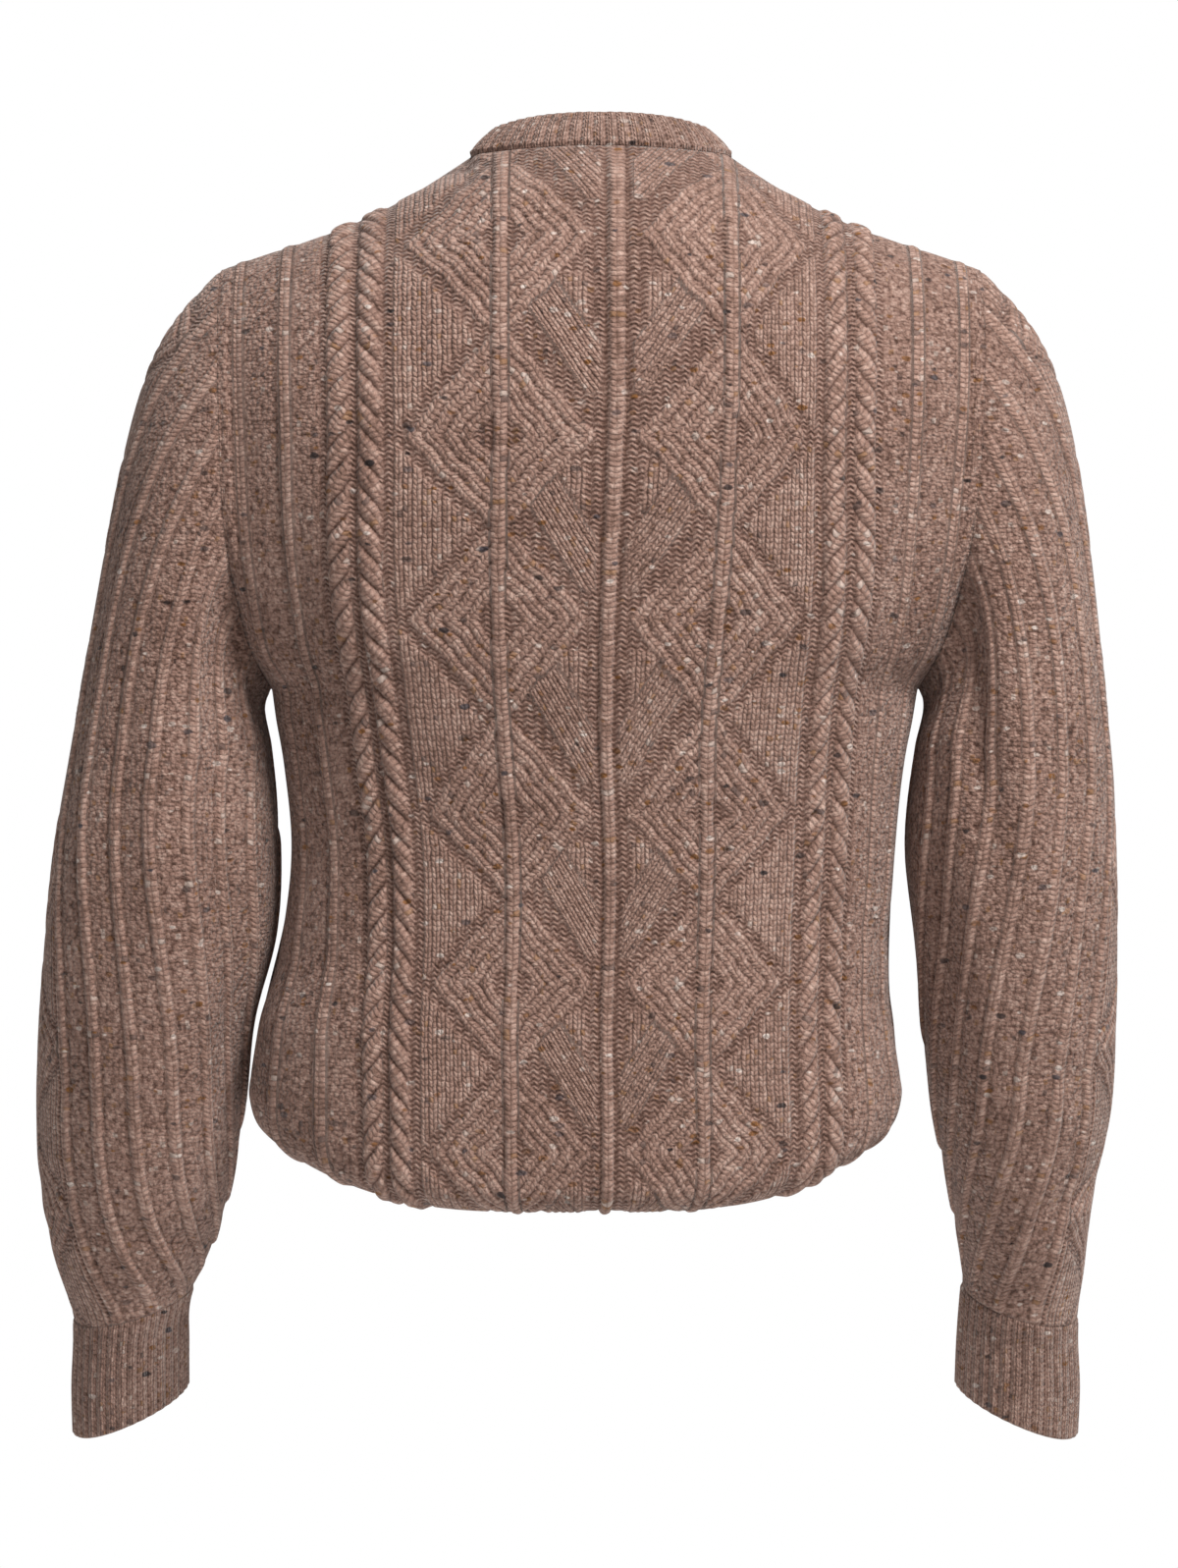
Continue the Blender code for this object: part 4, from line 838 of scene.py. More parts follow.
def finish_wall(name, wall):
    """Points the faces outwards, and makes the finished wall an object."""
    bmesh.ops.recalc_face_normals(wall, faces=wall.faces)
    open_edges = sum(1 for e in wall.edges if not e.is_manifold)
    mesh = bpy.data.meshes.new(name)
    wall.to_mesh(mesh)
    wall.free()
    mesh.shade_smooth()
    piece = bpy.data.objects.new(name, mesh)
    bpy.context.scene.collection.objects.link(piece)
    triangles = sum(len(p.vertices) - 2 for p in mesh.polygons)
    print(name, triangles, "triangles,", open_edges, "open edges,", round(time.time() - started), "s")
    return piece


def cloth_wall(name, outer, inner):
    """One closed panel from an outer and an inner grid: each is (points, knit, lean, kinds)."""
    wall = bmesh.new()
    for values in (outer, inner):
        grid = cloth_grid(*values)
        wall.from_mesh(grid)
        bpy.data.meshes.remove(grid)
    bmesh.ops.bridge_loops(wall, edges=[e for e in wall.edges if e.is_boundary])
    return finish_wall(name, wall)


def cloth_tube(name, outer, inner):
    """One closed tube from a strip that runs down outside, turns over the end and comes back."""
    strip = [np.concatenate([out, ins[::-1], out[:1]]) for out, ins in zip(outer, inner)]
    grid = cloth_grid(*strip)
    wall = bmesh.new()
    wall.from_mesh(grid)
    bpy.data.meshes.remove(grid)
    wall.verts.ensure_lookup_table()
    rows, columns = strip[0].shape[:2]
    pairs = {}
    for k in range(rows * columns):
        row, column = divmod(k, columns)
        if row == rows - 1 or column == columns - 1:
            pairs[wall.verts[k]] = wall.verts[row % (rows - 1) * columns + column % (columns - 1)]
    bmesh.ops.weld_verts(wall, targetmap=pairs)
    return finish_wall(name, wall)


# %% [markdown]
# ## Soft folds
#
# Worn wool also has small folds that no solid needs: slack at the waist, drag lines from the
# armpits, a long trough down the inside of a sleeve and a few puckers over the cuffs. They are
# listed one row each, and no two have the same length, width or depth.

# %% Soft folds
# as in the table of large folds; on a sleeve, across is measured round it and along down it
PANEL_FOLDS = (
    ("back", 0.160, -0.462, 0.016, 0.060, 8.0, -0.0020),
    ("back", 0.150, -0.502, 0.013, 0.048, -6.0, 0.0014),
    ("back", -0.158, -0.446, 0.015, 0.050, -10.0, -0.0017),
    ("back", -0.150, -0.486, 0.018, 0.058, 5.0, -0.0013),
    ("back", 0.118, -0.330, 0.060, 0.016, 24.0, -0.0012),
    ("back", -0.122, -0.345, 0.070, 0.014, -21.0, -0.0013),
    ("back", 0.040, -0.045, 0.010, 0.050, 12.0, -0.0010),
    ("back", -0.070, -0.530, 0.016, 0.070, 4.0, -0.0012),
    ("back", 0.080, -0.545, 0.014, 0.055, -7.0, 0.0010),
    ("front", 0.150, -0.470, 0.017, 0.055, -9.0, -0.0019),
    ("front", -0.146, -0.455, 0.014, 0.060, 7.0, -0.0016),
    ("front", -0.150, -0.500, 0.016, 0.045, -5.0, 0.0013),
    ("front", 0.110, -0.320, 0.066, 0.015, 27.0, -0.0013),
    ("front", -0.106, -0.335, 0.058, 0.017, -25.0, -0.0012),
    ("front", 0.050, -0.520, 0.015, 0.065, 6.0, -0.0012),
    ("front", -0.060, -0.150, 0.060, 0.012, -30.0, -0.0009),
)
SLEEVE_FOLDS = (
    ("left", 0.134, 0.010, 0.095, 0.013, 5.0, -0.0052),
    ("left", 0.160, 0.120, 0.100, 0.016, 4.0, -0.0046),
    ("left", 0.105, 0.055, 0.080, 0.013, 7.0, 0.0022),
    ("left", 0.074, 0.030, 0.110, 0.016, 3.0, -0.0034),
    ("left", 0.040, 0.120, 0.085, 0.020, -5.0, 0.0018),
    ("left", 0.060, 0.205, 0.012, 0.042, -14.0, -0.0016),
    ("left", 0.030, 0.262, 0.010, 0.036, 10.0, -0.0018),
    ("left", 0.090, 0.292, 0.008, 0.040, -8.0, -0.0016),
    ("left", -0.020, 0.300, 0.008, 0.030, 12.0, -0.0015),
    ("left", -0.110, 0.020, 0.080, 0.012, -7.0, -0.0024),
    ("left", -0.090, 0.190, 0.013, 0.045, 11.0, -0.0017),
    ("left", -0.100, 0.275, 0.009, 0.038, -9.0, -0.0016),
    ("right", 0.124, -0.010, 0.085, 0.013, -9.0, -0.0052),
    ("right", 0.098, 0.020, 0.095, 0.012, -7.0, 0.0024),
    ("right", 0.148, 0.115, 0.085, 0.015, -4.0, -0.0040),
    ("right", 0.066, 0.045, 0.100, 0.015, -6.0, -0.0026),
    ("right", 0.028, 0.130, 0.080, 0.022, 4.0, 0.0015),
    ("right", 0.070, 0.190, 0.013, 0.044, 13.0, -0.0015),
    ("right", 0.045, 0.270, 0.009, 0.036, -11.0, -0.0017),
    ("right", 0.100, 0.285, 0.008, 0.034, 7.0, -0.0014),
    ("right", -0.115, 0.000, 0.078, 0.011, 8.0, -0.0026),
    ("right", -0.085, 0.210, 0.012, 0.046, -12.0, -0.0016),
    ("right", -0.060, 0.290, 0.008, 0.038, 9.0, -0.0015),
)


# %% [markdown]
# ## Back and front
#
# Both panels have the same stitch plan. The outer side is the smooth surface pushed out by the
# raised stitches, which fade out a few millimetres before each seam, where the sewing pulls
# the cloth flat. The inner side lies one wall thickness inside and shows the purl side.

# %% Back and front
def near_edge(surface, limit):
    """Share from 0 at a piece's border to 1 at a distance from it, along rows and columns."""
    rows, columns = run_along(surface), run_along(surface, axis=1)
    distance = np.minimum(np.minimum(rows, rows[-1:] - rows),
                          np.minimum(columns, columns[:, -1:] - columns))
    return ease(distance / limit), distance


SHOULDER_FLAT = 0.028    # the raised stitches grow to full height over this length
INNER_STITCHES = np.linspace(-HALF_PANEL, HALF_PANEL, 45)
INNER_ROWS = even_places(((0, ROLL_START, 0.75), (ROLL_START, len(back) - 1, 0.5)))
# purl, no moss, no lean, and a middle level of painted light and shade
PURL_SIDE = (1.0, 0.0, 0.0, 0.4)
SEAM_CREASE = (0.0007, 0.0022)       # depth and half width of the crease along a seam


def plain_inner(points, knit_uv):
    kinds = np.ones(points.shape[:2] + (4,)) * np.array(PURL_SIDE)
    return points, knit_uv, knit_uv, kinds


def seam_crease(distance):
    """Depth of the crease along a seam, at a distance from it."""
    return SEAM_CREASE[0] * np.exp(-(distance / SEAM_CREASE[1]) ** 2)


def fine_panel(side, net, normal, phase, course):
    """Outer and inner values of a panel, and its outer base surface for the pieces it meets."""
    values = np.concatenate([net, phase[..., None], course[..., None]], axis=2)
    fine = fine_surface(values, FINE_ROWS, FINE_STITCHES)
    base = fine[..., :3]
    out = grid_normals(base, PANEL_SIDES[side][0])
    stitch = np.broadcast_to(FINE_STITCHES, base.shape[:2])
    plan = pulled(stitch, base[..., 2]) if side == "back" else stitch
    rise, lean_uv, kinds = panel_stitches(plan, fine[..., 3], fine[..., 4])
    flat, distance = near_edge(base, EDGE_CLEAR)
    crease = np.ones_like(rise)
    crease[0], crease[-1], crease[:, 0], crease[:, -1] = 0, 0, 0, 0
    rise = rise * (0.4 + 0.6 * ease(distance / SHOULDER_FLAT))
    push = (rise + fold_push(PANEL_FOLDS, side, base[..., 0], base[..., 2])) * flat
    push = push - seam_crease(distance) * crease
    outer = base + out * push[..., None]
    knit_uv = np.stack([plan / WALE, fine[..., 4]], axis=-1)
    inner = fine_surface(np.concatenate([values[..., :3] - normal * WALL, values[..., 4:]], axis=2),
                         INNER_ROWS, INNER_STITCHES)
    inner_uv = np.stack([np.broadcast_to(INNER_STITCHES, inner.shape[:2]) / WALE,
                         inner[..., 3]], axis=-1)
    return (outer, knit_uv, lean_uv, kinds), plain_inner(inner[..., :3], inner_uv), base


# %% [markdown]
# ## Sleeves
#
# A set-in sleeve leaves the armhole, rounds over the shoulder point and then hangs as a tube
# round the arm. Its rings come from a table of heights; the cap is drawn on curves from the
# armhole seam to the top ring of the arm.

# %% Sleeve tables
SLEEVE_NAMES = ("height", "outer", "inner", "mid_y", "half_depth", "slant")
LEFT_SLEEVE = (
    (-0.340, 0.3060, 0.1925, 0.002, 0.0660, 0.00),
    (-0.400, 0.3160, 0.1875, 0.002, 0.0660, 0.00),
    (-0.450, 0.3215, 0.1905, -0.002, 0.0640, 0.00),
    (-0.500, 0.3255, 0.2035, -0.010, 0.0610, 0.02),
    (-0.550, 0.3280, 0.2095, -0.022, 0.0570, 0.05),
    (-0.590, 0.3275, 0.2155, -0.033, 0.0520, 0.10),
    (-0.622, 0.3225, 0.2235, -0.042, 0.0460, 0.16),
    (-0.649, 0.3155, 0.2330, -0.049, 0.0390, 0.22),
    (-0.666, 0.3115, 0.2410, -0.053, 0.0355, 0.26),
    (-0.674, 0.3115, 0.2435, -0.0555, 0.0345, 0.28),
    (-0.706, 0.3135, 0.2455, -0.064, 0.0345, 0.34),
    (-0.733, 0.3135, 0.2460, -0.070, 0.0340, 0.40),
)
RIGHT_SLEEVE = (
    (-0.300, 0.2880, 0.1885, 0.002, 0.0660, 0.00),
    (-0.340, 0.2945, 0.1840, 0.002, 0.0660, 0.00),
    (-0.400, 0.2970, 0.1780, 0.002, 0.0660, 0.00),
    (-0.450, 0.2980, 0.1830, -0.002, 0.0640, 0.00),
    (-0.500, 0.2980, 0.1880, -0.010, 0.0610, 0.02),
    (-0.550, 0.2965, 0.1945, -0.022, 0.0570, 0.05),
    (-0.590, 0.2890, 0.2030, -0.033, 0.0520, 0.10),
    (-0.622, 0.2850, 0.2095, -0.042, 0.0460, 0.16),
    (-0.649, 0.2830, 0.2140, -0.049, 0.0390, 0.22),
    (-0.666, 0.2820, 0.2145, -0.053, 0.0360, 0.26),
    (-0.674, 0.2820, 0.2140, -0.0555, 0.0350, 0.28),
    (-0.706, 0.2840, 0.2125, -0.064, 0.0350, 0.34),
    (-0.733, 0.2835, 0.2120, -0.070, 0.0345, 0.40),
)
ARM_TOP = -0.340         # first full ring of the arm, below the sleeve cap
SLEEVE_END = -0.666
CUFF_END = -0.733
CAP_OUT = 0.78           # how far outward the cap leaves the armhole, against downward
CAP_OUT_SWING = 0.27     # more at the shoulder and the armpit, less at front and back
CAP_LEAVES = -0.28       # change of the cap curves' pull at the shoulder point, outer side only
CAP_ARRIVES = 1.2        # the same where they run into the arm
CAP_NEAR = 0.05          # share of a cap curve that gives its direction at the seam
SEAM_WARP = 1.15         # how sleeve stitches are shared out along the armhole

# %% Sleeve forms
def sleeve_value(table, name, height):
    return smooth(SLEEVE_NAMES, table, name, height)


def arm_ring(table, side, height, angles):
    """Points round the arm: angle 0 is outward, a quarter turn is to the back."""
    outer = sleeve_value(table, "outer", height)
    inner = sleeve_value(table, "inner", height)
    mid_y = sleeve_value(table, "mid_y", height)
    depth = sleeve_value(table, "half_depth", height)
    step = 0.004
    lean = (sleeve_value(table, "mid_y", height + step) - mid_y) / step
    slant = sleeve_value(table, "slant", height)
    dx = (outer - inner) / 2 * np.cos(angles)
    dy = depth * np.sin(angles)
    z = height - lean * dy - slant * dx
    return np.stack([side * ((outer + inner) / 2 + dx), mid_y + dy, z], axis=-1)


def armhole_loop(back_edge, front_edge):
    """Seam points round an armhole from the shoulder point back, down and up the front."""
    loop = np.concatenate([back_edge, front_edge[-2:0:-1]])
    down, up = run_along(back_edge), run_along(front_edge)
    back_turn = np.pi * (down / down[-1]) ** SEAM_WARP
    front_turn = np.pi * (up / up[-1]) ** SEAM_WARP
    return loop, np.concatenate([back_turn, 2 * np.pi - front_turn[-2:0:-1]])


def around(values, at, places):
    """Values of a closed loop at other places round it, both as angles."""
    closed = np.vstack([values, values[:1]])
    at = np.append(at, at[0] + 2 * np.pi)
    places = np.mod(places, 2 * np.pi)
    return np.stack([np.interp(places, at, closed[:, a]) for a in range(closed.shape[1])], axis=-1)


def cap_points(loop, loop_angles, table, side, angles, t):
    """Points of the sleeve cap at a share t of the way from the armhole to the arm's top ring."""
    start = around(loop, loop_angles, angles)
    end = arm_ring(table, side, ARM_TOP, angles)
    below = arm_ring(table, side, ARM_TOP - 0.01, angles)
    chord = np.linalg.norm(end - start, axis=1)[:, None]
    out = CAP_OUT + CAP_OUT_SWING * np.cos(2 * angles)
    leave = unit(np.stack([side * out, np.zeros_like(out), -np.ones_like(out)], axis=-1))
    arrive = unit(below - end)
    outward = np.maximum(np.cos(angles), 0.0)[:, None] ** 1.5
    leave = leave * chord * (1 + CAP_LEAVES * outward)
    arrive = arrive * chord * (1 + CAP_ARRIVES * outward)
    return cubic(start, end, leave, arrive, t)


def ring_normals(rings, side):
    """Unit normals of a stack of rings whose last column repeats the first."""
    down = np.gradient(rings, axis=0)
    open_rings = rings[:, :-1]
    turn = np.roll(open_rings, -1, axis=1) - np.roll(open_rings, 1, axis=1)
    turn = np.concatenate([turn, turn[:, :1]], axis=1)
    return unit(np.cross(down, turn) * side)


# %% [markdown]
# ## Fitting the sleeves and making the panels
#
# The sleeves are fitted to the coarse armholes first, because they decide how the panel walls
# turn at that seam. Then the panels are made fine, and their fine armhole edges become the
# first ring of each sleeve, so both sides of the seam follow one line.

# %% Fit the sleeves at the armholes
SIDES = (("left", 1, LEFT_SLEEVE, LAST), ("right", -1, RIGHT_SLEEVE, 0))
SLEEVE_ANGLES = np.linspace(-np.pi, np.pi, 265)   # the grid's seam lies under the arm
CAP_STEPS, ARM_STEPS = 130, 190


def sleeve_rings(loop, loop_angles, table, side, angles, cap_steps, arm_steps):
    caps = [cap_points(loop, loop_angles, table, side, angles, k / cap_steps)
            for k in range(cap_steps + 1)]
    arms = [arm_ring(table, side, ARM_TOP + (SLEEVE_END - ARM_TOP) * k / arm_steps, angles)
            for k in range(1, arm_steps + 1)]
    return np.array(caps + arms)


seam_walls = {}
for name, side, table, column in SIDES:
    loop, loop_angles = armhole_loop(back[:ARMPIT_ROW + 1, column], front[:ARMPIT_ROW + 1, column])
    rings = sleeve_rings(loop, loop_angles, table, side, np.append(loop_angles, 2 * np.pi), 6, 1)
    own = ring_normals(rings, side)[0, :-1]
    panels = np.concatenate([back_normal[:ARMPIT_ROW + 1, column],
                             front_normal[ARMPIT_ROW - 1:0:-1, column]])
    leaves = unit(cap_points(loop, loop_angles, table, side, loop_angles, CAP_NEAR) - loop)
    for_panel, for_sleeve = seam_directions(panels, own, leaves)
    back_normal[:ARMPIT_ROW + 1, column] = for_panel[:ARMPIT_ROW + 1]
    front_normal[0, column] = for_panel[0]
    front_normal[ARMPIT_ROW:0:-1, column] = for_panel[ARMPIT_ROW:]
    seam_walls[name] = (loop_angles, for_sleeve, leaves)
    print(name, "armhole:", round(float(run_along(loop)[-1]), 3), "m")

# %% [markdown]
# ## Neck seam
#
# The neckband leans inwards all the way round, so its wall and the panels' walls turn towards
# each other at the neck seam in the same way.

# %% Neck seam
NECKBAND_RISE = 0.0215
NECKBAND_CLOSE = 0.86    # size of the band's top against its seam
NECKBAND_CURL = 1.28     # the inward lean of the band's top against that of a straight band
RIM_DIP = 0.0050         # how much lower the rim lies at the sides than at the centre
NECKBAND_CENTRE_Y = -0.010
NECK_RIBS = 74


def neck_loop(back_row, front_row, stitches):
    """Points of the neck seam from the left shoulder round the back and then the front."""
    inside = np.abs(stitches) <= NECK_COLUMN + 1e-9
    return np.concatenate([back_row[inside][::-1], front_row[inside][1:-1]])


def band_directions(loop):
    """Top line, way up and outward normal of the neckband along its seam."""
    centre = np.array([0.0, NECKBAND_CENTRE_Y, 0.0])
    flat = (loop - centre) * np.array([1.0, 1.0, 0.0])
    top = centre + flat * NECKBAND_CLOSE + loop * np.array([0.0, 0.0, 1.0])
    top = top + np.array([0.0, 0.0, NECKBAND_RISE])
    up = unit(top - loop)
    own = unit(np.cross(np.roll(loop, -1, axis=0) - np.roll(loop, 1, axis=0), up))
    return top, up, own * np.sign(np.sum(own * flat, axis=1))[:, None]


neck = neck_loop(back[0], front[0], STITCH)
neck_panels = neck_loop(back_normal[0], front_normal[0], STITCH)
_, neck_up, neck_own = band_directions(neck)
for_panel, for_band = seam_directions(neck_panels, neck_own, neck_up)
first, last = NECK_CORNERS
back_normal[0, last:first - 1:-1] = for_panel[:last - first + 1]
front_normal[0, first + 1:last] = for_panel[last - first + 1:]
front_normal[0, last], front_normal[0, first] = for_panel[0], for_panel[last - first]
print("neck seam:", round(float(run_along(neck)[-1]), 3), "m round")

# %% Make the back and the front
opened = {}
for side, net, way in (("back", back, 1), ("front", front, -1)):
    moved = net.copy()
    for at in shared:
        moved[at][1] += way * SEAM_GAP / 2
    opened[side] = moved

pieces, bases = {}, {}
for side, normal, phase, course in (("back", back_normal, back_phase, back_course),
                                    ("front", front_normal, front_phase, front_course)):
    outer, inner, bases[side] = fine_panel(side, opened[side], normal, phase, course)
    pieces[side] = cloth_wall(side + "_cloth", outer, inner)

# %% [markdown]
# ## Stitches of the sleeves
#
# A chain of nested diamonds runs down the outer side of the sleeve. On both sides of it, ribs
# about 23 mm apart run down through moss stitch and into the cuff. They stay parallel: the
# sleeve narrows by losing stitches at its seam under the arm, as a knitter shapes it.

# %% Make the sleeves
SLEEVE_RIBS = (0.0500, 0.0725, 0.0950, 0.1175, 0.1400, 0.1625, 0.1850)
SLEEVE_DIAMOND = 0.104
GATHER = 0.034           # the raised stitches grow flatter over this length above the cuff
CAP_FLAT = 0.070         # they grow to full height over this length below the armhole
TWIST = 0.024            # the diamonds start this far to the front of the shoulder point
TWIST_ENDS = 0.20        # and have come round to the outer side this far down the arm
JOIN_ROWS = 9            # rows that are rounded off on both sides of the arm's top ring
JOIN_ROUNDS = 60
FIRST_DIAMOND = 0.3      # phase of the diamonds where the arm begins
INSIDE_ROWS = 34         # rows of the plain inner side
GAP_ROWS = 8             # the seam gap closes over these rows
TURN_ROWS = 14           # and the wall turns to its own direction over these


def tube_lengths(rings):
    """Distance round from the outer line; above the arm's top every column keeps its own."""
    middle = rings.shape[1] // 2
    run = run_along(rings, axis=1)
    run = run - run[:, middle:middle + 1]
    run[:CAP_STEPS] = run[CAP_STEPS]
    return run


def ease_join(rings):
    """The rings with the bend between cap and arm rounded off."""
    rows = np.arange(len(rings))
    share = 0.5 * np.exp(-((rows - CAP_STEPS) / JOIN_ROWS) ** 2)[:, None, None]
    for _ in range(JOIN_ROUNDS):
        middle = (rings[:-2] + rings[2:]) / 2 - rings[1:-1]
        rings[1:-1] += share[1:-1] * middle
    return rings


def sleeve_stitches(across, course, phase):
    """Rise, leaning directions and kinds of stitch on a sleeve."""
    # every level given below is painted light: raised forms are painted lighter than the ground
    a = np.abs(across)
    relief = Relief(a, course)
    height, directions, ring = nested_diamonds(a, phase, SLEEVE_DIAMOND)
    inside = (a < DIAMOND_HALF) & (ring < PLAIN_END - 0.05) & (a > RIB_HALF)
    relief.add(height * inside, RIDGE_RISE, directions, reach=inside)
    triangle = ease((ring - PLAIN_END) / 0.05) * ease((DIAMOND_HALF - BLEND - a) / 0.002)
    relief.add(triangle, 0.0009, knit=triangle, level=0.85 * triangle)
    for middle in (0.0,) + SLEEVE_RIBS:
        relief.add_rib(a - middle, course)
    return relief.finish(ease((a - DIAMOND_HALF) / BLEND))


def fine_sleeve(name, side, table, column):
    """Outer and inner values of a sleeve, and its last ring for the cuff."""
    edge = 0 if column == 0 else -1
    top_rows = FINE_ROWS <= ARMPIT_ROW + 1e-9
    loop, loop_angles = armhole_loop(bases["back"][top_rows][:, edge],
                                     bases["front"][top_rows][:, edge])
    rings = sleeve_rings(loop, loop_angles, table, side, SLEEVE_ANGLES, CAP_STEPS, ARM_STEPS)
    rings = ease_join(rings)
    out = ring_normals(rings, side)
    seam_angles, for_sleeve, leaves = seam_walls[name]
    wall_way = unit(around(for_sleeve, seam_angles, SLEEVE_ANGLES))
    gap = across_seam(around(leaves, seam_angles, SLEEVE_ANGLES), wall_way) * SEAM_GAP
    rings = rings + gap * fading(len(rings), GAP_ROWS)
    across, down = tube_lengths(rings), run_along(rings)
    down = down - down[CAP_STEPS]
    course = down / COURSE
    plan = across + TWIST * (1 - ease(down / TWIST_ENDS))
    rise, lean_uv, kinds = sleeve_stitches(plan, course, down / SLEEVE_DIAMOND + FIRST_DIAMOND)
    from_seam, to_cuff = down - down[0], down[-1] - down
    # both sides of the wall follow the folds
    folds = fold_push(SLEEVE_FOLDS, name, across, down)
    folds = folds * ease(from_seam / 0.02) * ease(to_cuff / 0.006)
    rings = rings + out * folds[..., None]
    out = ring_normals(rings, side)
    push = rise * ease(from_seam / EDGE_CLEAR) * (0.25 + 0.75 * ease(to_cuff / GATHER))
    push = push * (0.45 + 0.55 * ease(from_seam / CAP_FLAT))
    push = push - seam_crease(from_seam)
    push = push * ease(to_cuff / 0.002)
    push[0] = push[-1] = 0.0
    outer = rings + out * push[..., None]
    knit_uv = np.stack([plan / WALE, course], axis=-1)
    inner_rows = np.linspace(0, len(rings) - 1, INSIDE_ROWS).round().astype(int)
    directions = unit(out + (wall_way - out) * fading(len(rings), TURN_ROWS))
    inside = (rings - directions * WALL)[inner_rows]
    plain = plain_inner(inside, knit_uv[inner_rows])
    return (outer, knit_uv, lean_uv, kinds), plain, rings[-1]


sleeve_ends = {}
for name, side, table, column in SIDES:
    outer, inner, sleeve_ends[name] = fine_sleeve(name, side, table, column)
    pieces["sleeve_" + name] = cloth_tube("sleeve_%s_cloth" % name, outer, inner)

# %% [markdown]
# ## Rib bands
#
# Neckband, cuffs and the hem band inside are knitted in 1x1 rib: narrow round ribs side by
# side. Each band is a tube between two closed lines, with one wave of height per rib.

# %% Rib bands
RIB_WAVE = 0.0011        # height of a rib over the groove beside it
RIM_ROUND = 0.0016       # the free edge of a folded band is round over this length
RIB_START = 0.0035       # the ribs grow out of the seam over this length
RIM_FLAT = 0.003         # and grow flatter over this length before a free edge
SEAM_RIDGE = (0.0022, 0.0012)    # a low ridge beside a seam: its distance and half width


def band(name, rings, normals, ribs, thickness, free_end=True, seam_ridge=0.0):
    """A closed rib band from fine rings, whose last column repeats the first."""
    turn = np.linspace(0.0, 1.0, rings.shape[1])
    down = run_along(rings)
    wave = 0.5 + 0.5 * np.cos(2 * np.pi * ribs * turn)
    wave = np.broadcast_to(wave ** 0.8, down.shape)
    push = RIB_WAVE * wave * ease(down / RIB_START)
    push = push + seam_ridge * np.exp(-((down - SEAM_RIDGE[0]) / SEAM_RIDGE[1]) ** 2)
    if free_end:
        to_rim = down[-1] - down
        push = push * ease(to_rim / RIM_FLAT + 0.25)
        push = push - RIM_ROUND * (1 - np.sqrt(1 - np.clip(1 - to_rim / RIM_ROUND, 0, 1) ** 2))
    push[0] = 0.0
    outer = rings + normals * push[..., None]
    knit_uv = np.stack([np.broadcast_to(turn * ribs * 2, down.shape), down / COURSE], axis=-1)
    purl = 1 - np.clip(wave * 2.2, 0, 1)
    # the fourth number is painted light on the rib crowns and painted shade in the grooves between
    # them
    kinds = np.stack([purl, 0 * wave, 0 * wave, 0.28 + 0.67 * wave], axis=-1)
    if not free_end:
        kinds[-1, :, 3] = 0.5
    inner_rows = np.linspace(0, len(rings) - 1, 6).round().astype(int)
    plain = plain_inner((rings - normals * thickness)[inner_rows], knit_uv[inner_rows])
    return cloth_tube(name, (outer, knit_uv, knit_uv, kinds), plain)


def spread(values, share, places):
    """Values of a closed loop at other shares of its length."""
    closed = np.vstack([values, values[:1]])
    return np.stack([np.interp(places, np.append(share, 1.0), closed[:, a]) for a in range(3)],
                    axis=-1)


def seam_shares(seam):
    """How far round a closed seam each of its points lies."""
    run = run_along(np.vstack([seam, seam[:1]]))
    return run[:-1] / run[-1]


# %% Neckband
POINTS_PER_RIB = 8
NECK_PLACES = np.linspace(0.0, 1.0, NECK_RIBS * POINTS_PER_RIB + 1)
NECK_ROWS = even_places(((0.0, 0.1, 0.02), (0.1, 0.9, 0.05), (0.9, 1.0, 0.0125)))
fine_neck = neck_loop(bases["back"][0], bases["front"][0], FINE_STITCHES)
coarse_share = seam_shares(neck)
fine_share = seam_shares(fine_neck)
neck_top, neck_up, neck_own = band_directions(fine_neck)
# the rim dips at the sides, towards the shoulders
to_side = np.abs(neck_top[:, :1]) / np.abs(neck_top[:, 0]).max()
neck_top = neck_top - RIM_DIP * to_side ** 4 * np.array([0.0, 0.0, 1.0])
seam_way = unit(spread(for_band, coarse_share, fine_share))
neck_start = fine_neck + across_seam(neck_up, seam_way) * SEAM_GAP
neck_rings, neck_ways = [], []
for t in NECK_ROWS:
    # the band starts upright and curls inwards towards its free edge
    curl = NECKBAND_CURL * t ** 1.5
    line = neck_start + (neck_top - neck_start) * np.array([curl, curl, t])
    neck_rings.append(spread(line, fine_share, NECK_PLACES))
    way = unit(seam_way + (neck_own - seam_way) * ease(t / 0.14))
    neck_ways.append(unit(spread(way, fine_share, NECK_PLACES)))
pieces["neckband"] = band("neckband_rib", np.array(neck_rings), np.array(neck_ways), NECK_RIBS,
                          BAND_WALL, seam_ridge=0.0009)

